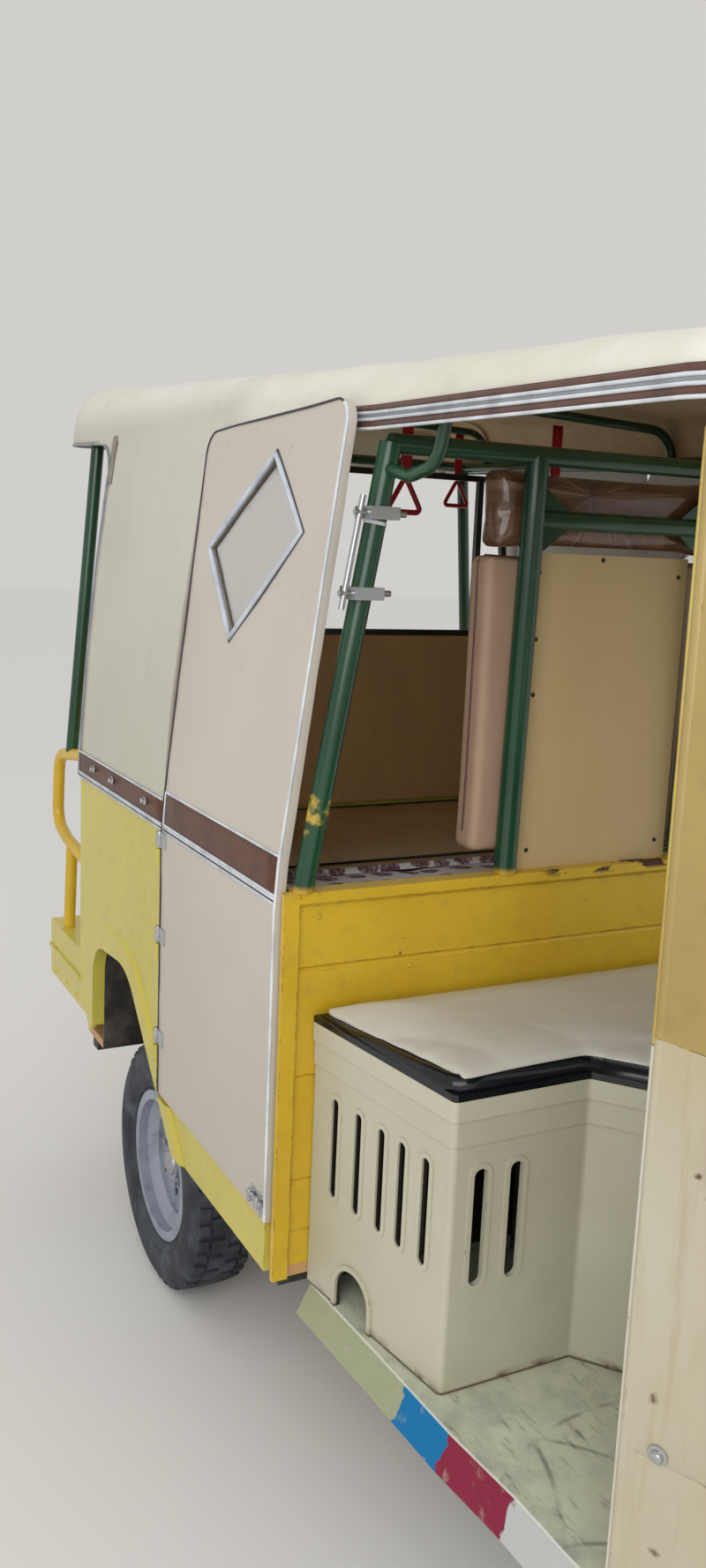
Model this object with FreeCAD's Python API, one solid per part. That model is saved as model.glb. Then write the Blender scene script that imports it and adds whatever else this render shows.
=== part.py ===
import FreeCAD, Part
import math
import os

# Auto rickshaw with a six-seat tub, in millimetres. +X forward, +Y left, +Z up, ground at z = 0.
# Every x below is measured from the rear axle. keep() moves the pieces so that the origin lies
# under the middle of the overall length. What stands behind the tub follows TUB_REAR, the
# partition and the cab follow TUB_FRONT, and the nose, the steering and the roof's front follow
# WHEELBASE. Widths follow TUB_HALF.

# Overall sizes
WHEELBASE = 2052
WHEEL_R = 276
REAR_TYRE_W = 157
FRONT_TYRE_W = 118
TUB_HALF = 625
REAR_FACE_Y = TUB_HALF - 40
REAR_WHEEL_Y = REAR_FACE_Y - REAR_TYRE_W / 2

# Fits: between curved faces that meet, round a turning shaft, and past a face that is cut away
GAP = 0.3
RUN_FIT = 0.05
PAST = 2

# Tub: the steel passenger body behind the partition
TUB_WALL = 22
TUB_INNER = TUB_HALF - TUB_WALL
TUB_FRONT = 759
TUB_REAR = -470
TUB_PANEL = 24
TUB_BOTTOM = WHEEL_R + 157
TUB_REAR_BOTTOM = TUB_BOTTOM + 66
FLOOR_T = 20
TUB_FLOOR_TOP = TUB_BOTTOM + FLOOR_T
BELT_TOP = 1157
FRONT_TOP = 1120
DOORWAY_REAR = 163
SILL_TOP = TUB_BOTTOM + 92
SILL_R = 12
FLANGE_OUT = 12
FLANGE_H = 26
FLANGE_LEAN = 8
FLANGE_R = 3
# heights of the grooves pressed across the front panel
GROOVES = [TUB_BOTTOM + 83, 611, 799, 989]
GROOVE_H = 8
GROOVE_DEPTH = 6
CHANNEL_W = 28
CHANNEL_T = 12
CHANNEL_SET = 4
CHANNEL_FLANGE = 30
RETURN_T = 8

# Wheel arch: x, z and bend radius of each corner, and how far it moves in x and z as the arch
# grows by 1
ARCH = [
    (-WHEEL_R - 54, TUB_REAR_BOTTOM, 0, -1, 0),
    (-WHEEL_R - 50, 2 * WHEEL_R + 160, 90, -1, 1),
    (-60, 2 * WHEEL_R + 183, 150, 1 / 3, 1),
    (WHEEL_R - 14, TUB_BOTTOM, 0, 1, 0),
]
ARCH_FOOT_R = 120
ARCH_BELOW = TUB_BOTTOM - 133
ARCH_WALL = 8
ARCH_DEPTH = 211
FLARE_W = 60
FLARE_SLOPE = 12
FLARE_T = 8

# Rear step, grab rails and tail lamps
STEP_TOP = TUB_REAR_BOTTOM + 150
STEP_WALL = 12
STEP_REAR = TUB_REAR - 296
STEP_POST = (TUB_REAR - 260, TUB_REAR - 220)
STEP_POST_HALF = 20
RIB_Z = TUB_REAR_BOTTOM + 72
RIB_H = 10
RIB_OUT = 5
GRAB_R = 15
GRAB_Y = TUB_HALF - 25
# line of the rail: back from the tub, z, bend radius
GRAB = [
    (0, 1138, 0),
    (40, 1138, 60),
    (304, 1102, 60),
    (326, 913, 60),
    (216, 886, 50),
    (40, 868, 60),
    (0, 868, 0),
]
# the leg from the lower run to the step: back from the tub at its head and foot, z of its head
GRAB_LEG = (175, 203, 883)
GRAB_REAR = TUB_REAR - GRAB[3][0]
TAIL_Y = TUB_HALF - 105
TAIL_Z = TUB_REAR_BOTTOM + 113
TAIL_R = 28
TAIL_T = 22

# The length over the grab rails and the front tyre gives the middle of the rickshaw
REAR_END = GRAB_REAR - GRAB_R
FRONT_END = WHEELBASE + WHEEL_R
MIDDLE_X = (REAR_END + FRONT_END) / 2

# Chassis
AXLE_END = REAR_WHEEL_Y - 108.5
RAIL_Y = AXLE_END - 48
RAIL_W = 50
RAIL_H = 60
RAIL_REAR = STEP_REAR + 26
RAIL_STEP = TUB_FRONT - 59
RAIL_FRONT = WHEELBASE - 552
CAB_FLOOR_TOP = TUB_BOTTOM - 16
CAB_RAIL_TOP = CAB_FLOOR_TOP - FLOOR_T
BEARER_H = 30
BEARER_W = 40
BEARER_HALF = TUB_INNER - 5
# x, half length and top of each cross member
BEARERS = [
    (RAIL_REAR + 20, RAIL_Y, TUB_BOTTOM),
    (TUB_REAR + 50, BEARER_HALF, TUB_BOTTOM),
    (TUB_FRONT - 364, BEARER_HALF, TUB_BOTTOM),
    (TUB_FRONT - 44, BEARER_HALF, TUB_BOTTOM),
    (TUB_FRONT + 141, TUB_HALF - 125, CAB_RAIL_TOP),
    (TUB_FRONT + 491, TUB_HALF - 145, CAB_RAIL_TOP),
    (RAIL_FRONT - 20, TUB_HALF - 165, CAB_RAIL_TOP),
]
TOW_SPACING = 160
TOW_HOLE_R = 6.5
NECK_R = 38
# along the neck tube from under the cab floor: back from the front axle, bend radius
NECK = [(582, 0), (447, 90), (412, 200)]

# Rear axle, springs and engine
AXLE_R = 32
SPINDLE_R = 20
SPINDLE_END = AXLE_END + 102
BRAKE_R = 108
BRAKE_T = 8
DIFF_R = 105
DIFF_HALF = 60
# the pinion's nose: where it starts, its length, and its radius at each end
PINION = (80, 70, 60, 40)
SHAFT_R = 25
SHAFT_DROP = 90
SPRING_SEAT = (55, 25)
SPRING_SEAT_Z = WHEEL_R + AXLE_R + 4
LEAF = 8
# reach of each leaf, from the longest at the top
LEAVES = [430, 330, 230]
EYE_R = 14
ENGINE_SIZE = (290, 330, 330)
ENGINE_X = TUB_FRONT + 196

# Wheels
SIDEWALL_R = WHEEL_R - 58
SHOULDER_R = WHEEL_R - 18
SHOULDER_IN = 6
TREAD_IN = 26
BEAD_LIP = 4
RIM_FLANGE_R = 168
RIM_SEAT_R = 152
RIM_WELL_R = 128
RIM_T = 5
SEAT_W = 22
WELL_SLOPE = 12
DISC_T = 6
# the pressed face: radius, back from the disc's front, corner radius
DISC_PRESS = [(30, 0, 0), (62, 0, 6), (74, 14, 6), (RIM_WELL_R - RIM_T + 1, 6, 0)]
DISC_HOLES = 10
DISC_HOLE_PITCH = 96
DISC_HOLE_R = 11
REAR_RIM_HALF = 58
FRONT_RIM_HALF = 42
REAR_DISC_Y = 20
FRONT_DISC_Y = 14
# rings of a hub: outer radius, inner radius, and where they start and end across the wheel
REAR_HUB = [
    (100, SPINDLE_R + RUN_FIT, -38, -32),
    (100, 94, AXLE_END + 6 - REAR_WHEEL_Y, -32),
    (38, SPINDLE_R + RUN_FIT, -38, 24),
    (38, 0.5, 24, 34),
]
AXLE_PIN_R = 10
FRONT_HUB = [
    (34, AXLE_PIN_R + RUN_FIT, -66, 66),
]

# Steering, in its own frame: s runs up the steering axis, u points ahead of it
RAKE = 25
TRAIL_OFFSET = 40
YOKE_LOW = WHEEL_R + 89
YOKE_HIGH = YOKE_LOW + 32
YOKE_R = 20
# u and y of the yoke's right corners, from the back
YOKE = [(-32, 50), (TRAIL_OFFSET - 26, 132), (TRAIL_OFFSET + 28, 132)]
HEAD_LOW = YOKE_HIGH + 1
HEAD_HIGH = HEAD_LOW + 387
NECK_HEAD = HEAD_LOW + 242
HEAD_R = 34
HEAD_ROOM = 6
STEM_R = 22
CLAMP_LOW = HEAD_HIGH + 15
CLAMP_HIGH = CLAMP_LOW + 50
CLAMP_HALF = (30, 34)
LEG_Y = 104
LEG_R = 24
STANCHION_R = 16
LEG_TOP = 150
PIN_OUT = 8
BAR_R = 12
BAR_AHEAD = 34
BAR_BEND = 60
# half of the bar: back from the clamp, y, height above the clamp
BAR = [(190, 365, 78), (95, 250, 84), (0, 110, 0)]
MUDGUARD_IN = WHEEL_R + 16
MUDGUARD_T = 4
MUDGUARD_HALF = 70
MUDGUARD_SKIRT = 26
MUDGUARD_R = 22
MUDGUARD_START = 24
MUDGUARD_END = 168
STAY_HALF = 8
STAY_LOW = MUDGUARD_IN - 30
STAY_HIGH = MUDGUARD_IN - 6

# Cab nose: z, rear edge behind the front axle, half width, front behind the front axle, half
# width at the front, corner radius
COWL_WALL = 14
COWL_SPLIT = 640
COWL_TOP = 1150
COWL_OPEN = 80
SHIELD_TOP = 1866
BELTLINE = (COWL_TOP, 507, TUB_HALF - 108, 162, 430, 180)
COWL_LOWER = [
    (CAB_FLOOR_TOP, 512, TUB_HALF - 113, 337, 430, 110),
    (COWL_SPLIT, 509, TUB_HALF - 110, 314, 430, 120),
]
COWL_NOSE = [
    (COWL_SPLIT, 509, TUB_HALF - 110, 252, 400, 140),
    (COWL_SPLIT + 60, 508, TUB_HALF - 109, 147, 380, 170),
    (COWL_SPLIT + 180, 507, TUB_HALF - 108, 84, 360, 190),
    (COWL_TOP - 150, 507, TUB_HALF - 108, 102, 375, 190),
    BELTLINE,
]
SHIELD = [
    BELTLINE,
    (SHIELD_TOP, 567, TUB_HALF - 159, 455, 395, 80),
]
BEAD_R = 9
BEAD_IN = 8
GLASS_T = 6
GLASS_SET = 4
GLASS_GROOVE = 12
GLASS_R = 40
# z and half width of the windshield's opening, low edge and high edge
GLASS = [(1200, 392), (1795, 340)]
LAMP_R = 82
LAMP_Y = 235
LAMP_Z = 850
LAMP_FACE = WHEELBASE - 68
LAMP_DEPTH = 104
# the lamp's shell: depth behind its face, radius
LAMP_SHELL = [(LAMP_DEPTH, 0), (LAMP_DEPTH, 55), (64, LAMP_R), (12, LAMP_R), (8, LAMP_R - 8), (0, 0)]
SIGNAL_R = 30
SIGNAL_Y = 300
SIGNAL_Z = 1000
SIGNAL_FACE = WHEELBASE - 97
SIGNAL_DEPTH = 60

# Cab floor: its length, and its edge as a share of the length and how far in from the tub's side
FLOOR_REAR = TUB_FRONT + 8
FLOOR_FRONT = WHEELBASE - COWL_LOWER[0][1]
FLOOR_EDGE = [(0, 74), (0.29, 87), (0.56, 97), (0.74, 111), (0.92, 117), (1, 113)]
SILL_DROP = 54
SILL_SPREAD = 26
SILL_T = 8

# Seat box: ahead of the tub and how far in from its side, from the back to the nose
BOX_SIDE = [(3, 69), (363, 122), (363, 363), (491, 465)]
BOX_CORNER_R = 10
BOX_WALL = 8
BOX_TOP = 862
BOX_LIP_LOW = 820
BOX_LIP = 3
LID_TOP = 905
LID_LIP = 6
CUSHION_TOP = 945
CUSHION_IN = 4
CUSHION_R = 14
# slots: width, low end, high end; and where they are along the side and across the front
SIDE_SLOT = (18, 606, 780)
SIDE_SLOTS = [66, 131, 193, 246, 305]
FRONT_SLOT = (24, 590, 780)
FRONT_SLOTS = [453, 389]
# the pressed rim round a slot: its width, and how far it stands out
SLOT_RIM = (8, 2.5)
# round-topped hole over the sill: along the side, radius, top
CABLE_HOLE = (133, 46, 500)
CABLE_RIM = (9, 4)

# Side doors, standing just outside the tub
DOOR_FACE = TUB_HALF + 8
DOOR_T = 16
DOOR_REAR = DOORWAY_REAR + 8
DOOR_FRONT = TUB_FRONT - 12
DOOR_BOTTOM = SILL_TOP + 10
DOOR_TOP = 1908
DOOR_TOP_FALL = 22
DOOR_BEND = 1125
DOOR_EASE = 40
DOOR_TOP_REAR_HALF = TUB_HALF - 80
DOOR_TOP_FRONT_HALF = TUB_HALF - 95
DOOR_CORNER_R = 45
DOOR_TRIM = 10
HINGE_X = DOORWAY_REAR
HINGE_Y = DOOR_FACE + 1
HINGE_HEIGHTS = [640, 860, 1060]
KNUCKLE_R = 7
LEAF_T = 3
LEAF_W = 40
LEAF_H = 70
# corners of the diamond window: behind the tub's front, z
DIAMOND = [(261, 1829), (115, 1696), (354, 1504), (509, 1665)]
DIAMOND_R = 6
PANE_T = 2
PANE_LIP = 12
BOLT_R = 5
BOLT_LIFT = 2
BOLT_Z = DOOR_BOTTOM + 31
BOLT_LENGTH = 58
BOLT_END = 4
# the bolt's two keepers: behind the door's front edge
KEEPERS = [54, 22]
KEEPER_W = 10
KEEPER_HALF = 12

# Side curtains behind the doors
CURTAIN_T = 12
CURTAIN_FRONT = DOORWAY_REAR - 6
CURTAIN_MID_Z = 1483
CURTAIN_MID_HALF = TUB_HALF - 25
CURTAIN_TOP_REAR_HALF = TUB_HALF - 76
CURTAIN_TOP_FRONT_HALF = TUB_HALF - 85

# Roof stations: x, half width, edge z, shoulder z, crown z, shoulder radius
ROOF_WALL = 8
ROOF_LEAN = 6
CROWN_R = 1500
ROOF_JOIN = (WHEELBASE - 572, TUB_HALF - 122, 1846, 1928, 1956, 60)
BEAM_X = TUB_FRONT + 16
CANOPY = [
    (TUB_REAR - 325, TUB_HALF - 65, 1905, 2020, 2040, 60),
    (TUB_REAR - 265, TUB_HALF - 59, 1903, 2045, 2075, 80),
    (DOORWAY_REAR + 2, TUB_HALF - 105, 1875, 1995, 2025, 80),
    (BEAM_X, TUB_HALF - 122, 1857, 1962, 1992, 75),
    ROOF_JOIN,
]
ROOF_NOSE = [
    ROOF_JOIN,
    (WHEELBASE - 507, TUB_HALF - 147, 1846, 1918, 1944, 50),
    (WHEELBASE - 457, TUB_HALF - 205, 1847, 1905, 1928, 40),
    (WHEELBASE - 422, TUB_HALF - 325, 1848, 1890, 1908, 28),
    (WHEELBASE - 404, TUB_HALF - 465, 1849, 1875, 1886, 16),
]

# Green tube frame
ROOF_RAIL_R = 14
RAIL_LIFT = 16
RAIL_INSET = ROOF_WALL + ROOF_RAIL_R + 2
RAIL_BEND = 400
RAIL_STATIONS = [TUB_REAR - 230, DOORWAY_REAR + 2, BEAM_X, WHEELBASE - 590]
HOOP_R = 10
HOOPS = [TUB_REAR - 50, DOORWAY_REAR + 137, WHEELBASE - 872]
HOOP_DROP = 32
HOOP_CROWN = 20
HOOP_IN = 12
HOOP_BEND = 60
HOOP_CROWN_R = 900
POST_R = 18
POST_FOOT_Y = TUB_HALF - 35
POST_HEAD_Y = TUB_HALF - 151
INNER_POST_Y = 195
INNER_POST_R = 20
INNER_FOOT_X = TUB_FRONT - 3
BEAM_R = 16
BEAM_Z = 1838
CROSSBAR_Z = 1735
CROSSBAR_X = TUB_FRONT + 13
BRACE_R = 10
BRACE_BEND = 50
BRACE_Z = 1800
# the brace from the post to the roof rail: ahead of the tub, z
BRACE = [(91, 1785), (171, 1800)]
BRACE_HEAD_X = TUB_FRONT + 191
REAR_POST_R = 16
REAR_POST_X = TUB_REAR - 180
BRACKET_HEIGHTS = [1605, 1730]
CLAMP_X = (24, 30)
CLAMP_Y = 26
CLAMP_Z = 10
STUD_R = 5
STUD_REACH = 52
BRACKET_ROD = (20, 40)

# Inside the tub
REAR_BENCH_TOP = 1000
FRONT_BENCH_TOP = 1050
BENCH_PAD = 40
BENCH_PAD_R = 12
BENCH_PAD_IN = 5
BOARD_T = 20
LINING_X = TUB_REAR + TUB_WALL + 2
LINING_T = 16
REAR_BENCH = (LINING_X + LINING_T + 1, DOORWAY_REAR - 13)
FRONT_BENCH = (TUB_FRONT - 359, TUB_FRONT - TUB_PANEL)
FRONT_PAD = (FRONT_BENCH[0], TUB_FRONT - CHANNEL_FLANGE - 4)
BENCH_HALF = TUB_INNER - 3
# board and cushions of the seat back: rear x, front x, half width, low z, high z
BACK_BOARD = (TUB_FRONT - 23, TUB_FRONT - 15, 174, FRONT_TOP, 1680)
SEAT_BACK = (BACK_BOARD[0] - 71, BACK_BOARD[0] - GAP, 268, FRONT_TOP + 28, BACK_BOARD[4] - 2)
UPPER_CUSHION = (TUB_FRONT - 79, TUB_FRONT - 9, 253, BACK_BOARD[4] + 10, 1816)
BACK_PAD_R = 14
LINING_LOW = REAR_BENCH_TOP
LINING_TOP = 1450
WINDOW_TOP = 1882
BAR_W = 16
MULLION_Y = TUB_HALF - 161
# the space between the curtains: z, how far in from the tub's side
CURTAIN_LINE = [(BELT_TOP, 0), (1312, 11), (CURTAIN_MID_Z, 25), (1610, 43), (1893, 80)]
CURTAIN_CLEAR = CURTAIN_T + 4
# strap handles under the hoops: x, y
STRAPS = [(HOOPS[0], TUB_HALF - 185), (HOOPS[1], 180)]
STRAP_HALF = (2, 12)
STRAP_LENGTH = 126
STRAP_SLACK = 4
RING_R = 6
RING_HALF = 40
RING_H = 70
# dome lamp: x, y, half length, half width, depth, drop below the roof's shoulder
DOME_LAMP = (TUB_FRONT + 145, -155, 55, 30, 22, 22)

X = FreeCAD.Vector(1, 0, 0)
Y = FreeCAD.Vector(0, 1, 0)
Z = FreeCAD.Vector(0, 0, 1)
ORIGIN = FreeCAD.Vector(0, 0, 0)
SIDES = (-1, 1)


# Helpers

def spot(x, y, z):
    return FreeCAD.Vector(x, y, z)


def mirror_spot(place):
    return spot(place.x, -place.y, place.z)


def bends(corners, closed):
    """Where each bend starts and ends. corners: (place, radius)."""
    count = len(corners)
    found = []
    for index, (here, radius) in enumerate(corners):
        end = not closed and index in (0, count - 1)
        if radius == 0 or end:
            found.append((here, None, here))
            continue
        back = (corners[index - 1][0] - here).normalize()
        ahead = (corners[(index + 1) % count][0] - here).normalize()
        half = back.getAngle(ahead) / 2
        reach = radius / math.tan(half)
        centre = here + (back + ahead).normalize() * (radius / math.sin(half))
        found.append((here + back * reach, centre, here + ahead * reach))
    return found


def rounded_wire(corners, closed=True):
    """Straight runs joined by tangent arcs. corners: (place, radius)."""
    turns = bends(corners, closed)
    edges = []
    for index, (entry, centre, leave) in enumerate(turns):
        if centre is not None:
            outward = (corners[index][0] - centre).normalize()
            middle = centre + outward * corners[index][1]
            edges.append(Part.Arc(entry, middle, leave).toShape())
        if closed or index < len(turns) - 1:
            following = turns[(index + 1) % len(turns)][0]
            if leave.distanceToPoint(following) > 1e-6:
                edges.append(Part.LineSegment(leave, following).toShape())
    return Part.Wire(edges)


def in_xz(points, y):
    """points: (x, z, radius)."""
    return rounded_wire([(spot(x, y, z), radius) for x, z, radius in points])


def in_yz(points, x):
    """points: (y, z, radius)."""
    return rounded_wire([(spot(x, y, z), radius) for y, z, radius in points])


def in_xy(points, z):
    """points: (x, y, radius)."""
    return rounded_wire([(spot(x, y, z), radius) for x, y, radius in points])


def slab(wire, along):
    return Part.Face(wire).extrude(along)


def block(low, high):
    size = [b - a for a, b in zip(low, high)]
    return Part.makeBox(size[0], size[1], size[2], spot(*low))


def rod(start, end, radius):
    return Part.makeCylinder(radius, start.distanceToPoint(end), start, end - start)


def tube(corners, radius):
    """A bent tube of cylinders and ring sections. corners: (place, bend radius)."""
    turns = bends(corners, False)
    pieces = []
    for index, (entry, centre, leave) in enumerate(turns):
        if centre is not None:
            inward = (entry - centre).normalize()
            outward = (leave - centre).normalize()
            axis = inward.cross(outward)
            ring = Part.Face(Part.Wire([Part.makeCircle(radius, entry, axis.cross(inward))]))
            pieces.append(ring.revolve(centre, axis, math.degrees(inward.getAngle(outward))))
        if index < len(turns) - 1:
            pieces.append(rod(leave, turns[index + 1][0], radius))
    return join(*pieces)


def turned(points, centre):
    """A ring about the wheel's axis through centre. points: (radius, y offset, corner radius)."""
    wire = rounded_wire([(spot(r, y, 0), radius) for r, y, radius in points])
    solid = Part.Face(wire).revolve(ORIGIN, Y, 360)
    return solid.translated(centre)


def join(*shapes):
    return shapes[0].multiFuse(list(shapes[1:])).removeSplitter()


def mirrored(shape):
    return shape.mirror(ORIGIN, Y)


def both_sides(shape):
    return [shape, mirrored(shape)]


def spread(value, table):
    """Straight-line value between the rows (place, value) of a table."""
    for (low, start), (high, end) in zip(table, table[1:]):
        if value <= high:
            share = (value - low) / (high - low)
            return start + (end - start) * share
    return table[-1][1]


def keep(name, *solids):
    """Writes one node; several solids of one node do not touch each other."""
    moved = [solid.translated(spot(-MIDDLE_X, 0, 0)) for solid in solids]
    shape = moved[0] if len(moved) == 1 else Part.makeCompound(moved)
    shape.exportStep("parts/" + name + ".step")


# Chassis and running gear

def chassis_frame():
    """Two rails that step down under the cab, cross members, and the neck to the steering head."""
    pieces = []
    for side in SIDES:
        low = side * RAIL_Y - RAIL_W / 2
        high = side * RAIL_Y + RAIL_W / 2
        pieces.append(block((RAIL_REAR, low, TUB_BOTTOM - RAIL_H), (TUB_FRONT, high, TUB_BOTTOM)))
        pieces.append(block((RAIL_STEP, low, CAB_RAIL_TOP - RAIL_H), (RAIL_FRONT, high, CAB_RAIL_TOP)))
        step_y = side * RAIL_Y
        pieces.append(block((STEP_POST[0], step_y - STEP_POST_HALF, TUB_BOTTOM),
                            (STEP_POST[1], step_y + STEP_POST_HALF, STEP_TOP - STEP_WALL)))
    for x, half, top in BEARERS:
        pieces.append(block((x - BEARER_W / 2, -half, top - BEARER_H), (x + BEARER_W / 2, half, top)))
    pieces.append(neck_tube(NECK_R))
    pieces.append(steered(rod(spot(0, 0, HEAD_LOW), spot(0, 0, HEAD_HIGH), HEAD_R)))
    cuts = [steered(rod(ORIGIN, spot(0, 0, CLAMP_HIGH), STEM_R + RUN_FIT))]
    for side in SIDES:
        place = spot(RAIL_REAR - PAST, side * TOW_SPACING / 2, TUB_BOTTOM - BEARER_H / 2)
        cuts.append(rod(place, place + X * (BEARER_W + 2 * PAST), TOW_HOLE_R))
    return join(*pieces).cut(Part.makeCompound(cuts))


def neck_tube(radius):
    """The tube that rises from under the cab floor to the steering head."""
    under = CAB_RAIL_TOP - NECK_R - PAST
    heights = [under, under, COWL_SPLIT]
    line = []
    for (back, bend), z in zip(NECK, heights):
        line.append((spot(WHEELBASE - back, 0, z), bend))
    line.append((on_steering(0, 0, NECK_HEAD), 0))
    return tube(line, radius)


def steering_origin():
    lean = math.radians(RAKE)
    return spot(WHEELBASE - TRAIL_OFFSET * math.cos(lean), 0, WHEEL_R - TRAIL_OFFSET * math.sin(lean))


def steered(shape):
    """Turns a shape from the steering frame (u, y, s) into the rickshaw's frame."""
    leaned = shape.copy()
    leaned.rotate(ORIGIN, Y, -RAKE)
    leaned.translate(steering_origin())
    return leaned


def on_steering(u, y, s):
    lean = math.radians(RAKE)
    place = spot(u * math.cos(lean) - s * math.sin(lean), y, u * math.sin(lean) + s * math.cos(lean))
    return place + steering_origin()


def rear_axle():
    """Axle tube, differential bowl, drive shaft, brake plates, spindles and spring seats."""
    start, length, wide, narrow = PINION
    half_x, half_y = SPRING_SEAT
    middle = Z * WHEEL_R
    bowl = Part.makeSphere(DIFF_R, middle)
    pieces = [
        rod(middle - Y * AXLE_END, middle + Y * AXLE_END, AXLE_R),
        bowl.common(block((-DIFF_R, -DIFF_HALF, 0), (DIFF_R, DIFF_HALF, WHEEL_R * 2))),
        Part.makeCone(wide, narrow, length, middle + X * start, X),
        rod(middle + X * (start + length - PAST),
            spot(ENGINE_X - ENGINE_SIZE[0] / 2, 0, CAB_FLOOR_TOP - SHAFT_DROP), SHAFT_R),
    ]
    for side in SIDES:
        out = Y * side
        pieces.append(rod(middle + out * (AXLE_END - BRAKE_T), middle + out * AXLE_END, BRAKE_R))
        pieces.append(rod(middle + out * AXLE_END, middle + out * SPINDLE_END, SPINDLE_R))
        y = side * RAIL_Y
        pieces.append(block((-half_x, y - half_y, WHEEL_R), (half_x, y + half_y, SPRING_SEAT_Z)))
    return join(*pieces)


def leaf_springs():
    """Three bowed leaves under each rail, the longest on top with an eye at each end."""
    eye_z = TUB_BOTTOM - RAIL_H - EYE_R
    rise = eye_z - SPRING_SEAT_Z - LEAF * len(LEAVES)
    longest = LEAVES[0]
    bow = (longest ** 2 + rise ** 2) / (2 * rise)
    y = RAIL_Y - RAIL_W / 2
    pieces = []
    for index, reach in enumerate(LEAVES):
        low = SPRING_SEAT_Z + LEAF * (len(LEAVES) - 1 - index)
        centre = spot(0, y, low + bow + LEAF * index)
        arcs = []
        for radius in (bow + LEAF * index, bow + LEAF * (index - 1)):
            drop = math.sqrt(radius ** 2 - reach ** 2)
            ends = [centre + X * side * reach - Z * drop for side in SIDES]
            arcs.append((ends[0], centre - Z * radius, ends[1]))
        (a, under, b), (c, over, d) = arcs
        outline = [
            Part.Arc(a, under, b).toShape(),
            Part.LineSegment(b, d).toShape(),
            Part.Arc(d, over, c).toShape(),
            Part.LineSegment(c, a).toShape(),
        ]
        pieces.append(slab(Part.Wire(outline), Y * RAIL_W))
    for end in SIDES:
        eye = spot(end * longest, y, eye_z)
        pieces.append(rod(eye, eye + Y * RAIL_W, EYE_R))
    return both_sides(join(*pieces))


def engine_block():
    length, width, height = ENGINE_SIZE
    return block((ENGINE_X - length / 2, -width / 2, CAB_FLOOR_TOP),
                 (ENGINE_X + length / 2, width / 2, CAB_FLOOR_TOP + height))


# Wheels

def tyre(width, centre, rim_half):
    half = width / 2
    side = [
        (RIM_SEAT_R + GAP, rim_half),
        (RIM_FLANGE_R + BEAD_LIP, rim_half),
        (SIDEWALL_R, half),
        (SHOULDER_R, half - SHOULDER_IN),
        (WHEEL_R, half - TREAD_IN),
    ]
    left = [(radius, y, 0) for radius, y in side]
    right = [(radius, -y, 0) for radius, y in reversed(side)]
    return turned(left + right, centre)


def rim_barrel(wall, centre):
    """Rolled rim: flange, bead seat and well on each side."""
    well = wall - SEAT_W - WELL_SLOPE
    outside = [
        (RIM_FLANGE_R, wall + RIM_T),
        (RIM_FLANGE_R, wall),
        (RIM_SEAT_R, wall),
        (RIM_SEAT_R, wall - SEAT_W),
        (RIM_WELL_R, well),
    ]
    inside = [
        (RIM_WELL_R - RIM_T, well - PAST),
        (RIM_SEAT_R - RIM_T, wall - SEAT_W + RIM_T),
        (RIM_SEAT_R - RIM_T, wall + RIM_T),
    ]
    left = [(radius, y, 0) for radius, y in inside + outside]
    right = [(radius, -y, 0) for radius, y in reversed(inside + outside)]
    return turned(left + right, centre)


def rim(rim_half, disc_y, centre, hub):
    """A pressed disc with a ring of holes, welded into its barrel, and the rings of its hub."""
    face = [(radius, disc_y - back, bend) for radius, back, bend in DISC_PRESS]
    rear = [(radius, disc_y - back - DISC_T, bend) for radius, back, bend in reversed(DISC_PRESS)]
    disc = turned(face + rear, centre)
    holes = []
    for index in range(DISC_HOLES):
        angle = 2 * math.pi * index / DISC_HOLES
        place = centre + spot(math.cos(angle), 0, math.sin(angle)) * DISC_HOLE_PITCH
        holes.append(rod(place - Y * REAR_TYRE_W, place + Y * REAR_TYRE_W, DISC_HOLE_R))
    rings = []
    for outer, inner, start, end in hub:
        corners = [(inner, start, 0), (outer, start, 0), (outer, end, 0), (inner, end, 0)]
        rings.append(turned(corners, centre))
    return join(rim_barrel(rim_half + GAP, centre), disc.cut(Part.makeCompound(holes)), *rings)


def rear_wheel():
    """The left rear wheel: its outer face is towards +Y."""
    centre = spot(0, REAR_WHEEL_Y, WHEEL_R)
    return tyre(REAR_TYRE_W, centre, REAR_RIM_HALF), rim(REAR_RIM_HALF, REAR_DISC_Y, centre, REAR_HUB)


def front_wheel():
    centre = spot(WHEELBASE, 0, WHEEL_R)
    return tyre(FRONT_TYRE_W, centre, FRONT_RIM_HALF), rim(FRONT_RIM_HALF, FRONT_DISC_Y, centre, FRONT_HUB)


# Steering

def steering_fork():
    """Stem, yoke, and two telescopic legs that carry the front axle pin."""
    right = [(u, -y, YOKE_R) for u, y in YOKE]
    left = [(u, y, YOKE_R) for u, y in reversed(YOKE)]
    pieces = [
        rod(spot(0, 0, YOKE_LOW), spot(0, 0, CLAMP_HIGH), STEM_R),
        slab(in_xy(right + left, YOKE_LOW), Z * (YOKE_HIGH - YOKE_LOW)),
    ]
    for side in SIDES:
        leg = spot(TRAIL_OFFSET, side * LEG_Y, 0)
        pieces.append(rod(leg - Z * LEG_R, leg + Z * LEG_TOP, LEG_R))
        pieces.append(rod(leg + Z * LEG_TOP, leg + Z * YOKE_LOW, STANCHION_R))
    pin_end = LEG_Y + LEG_R + PIN_OUT
    pieces.append(rod(spot(TRAIL_OFFSET, -pin_end, 0), spot(TRAIL_OFFSET, pin_end, 0), AXLE_PIN_R))
    return steered(join(*pieces))


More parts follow.
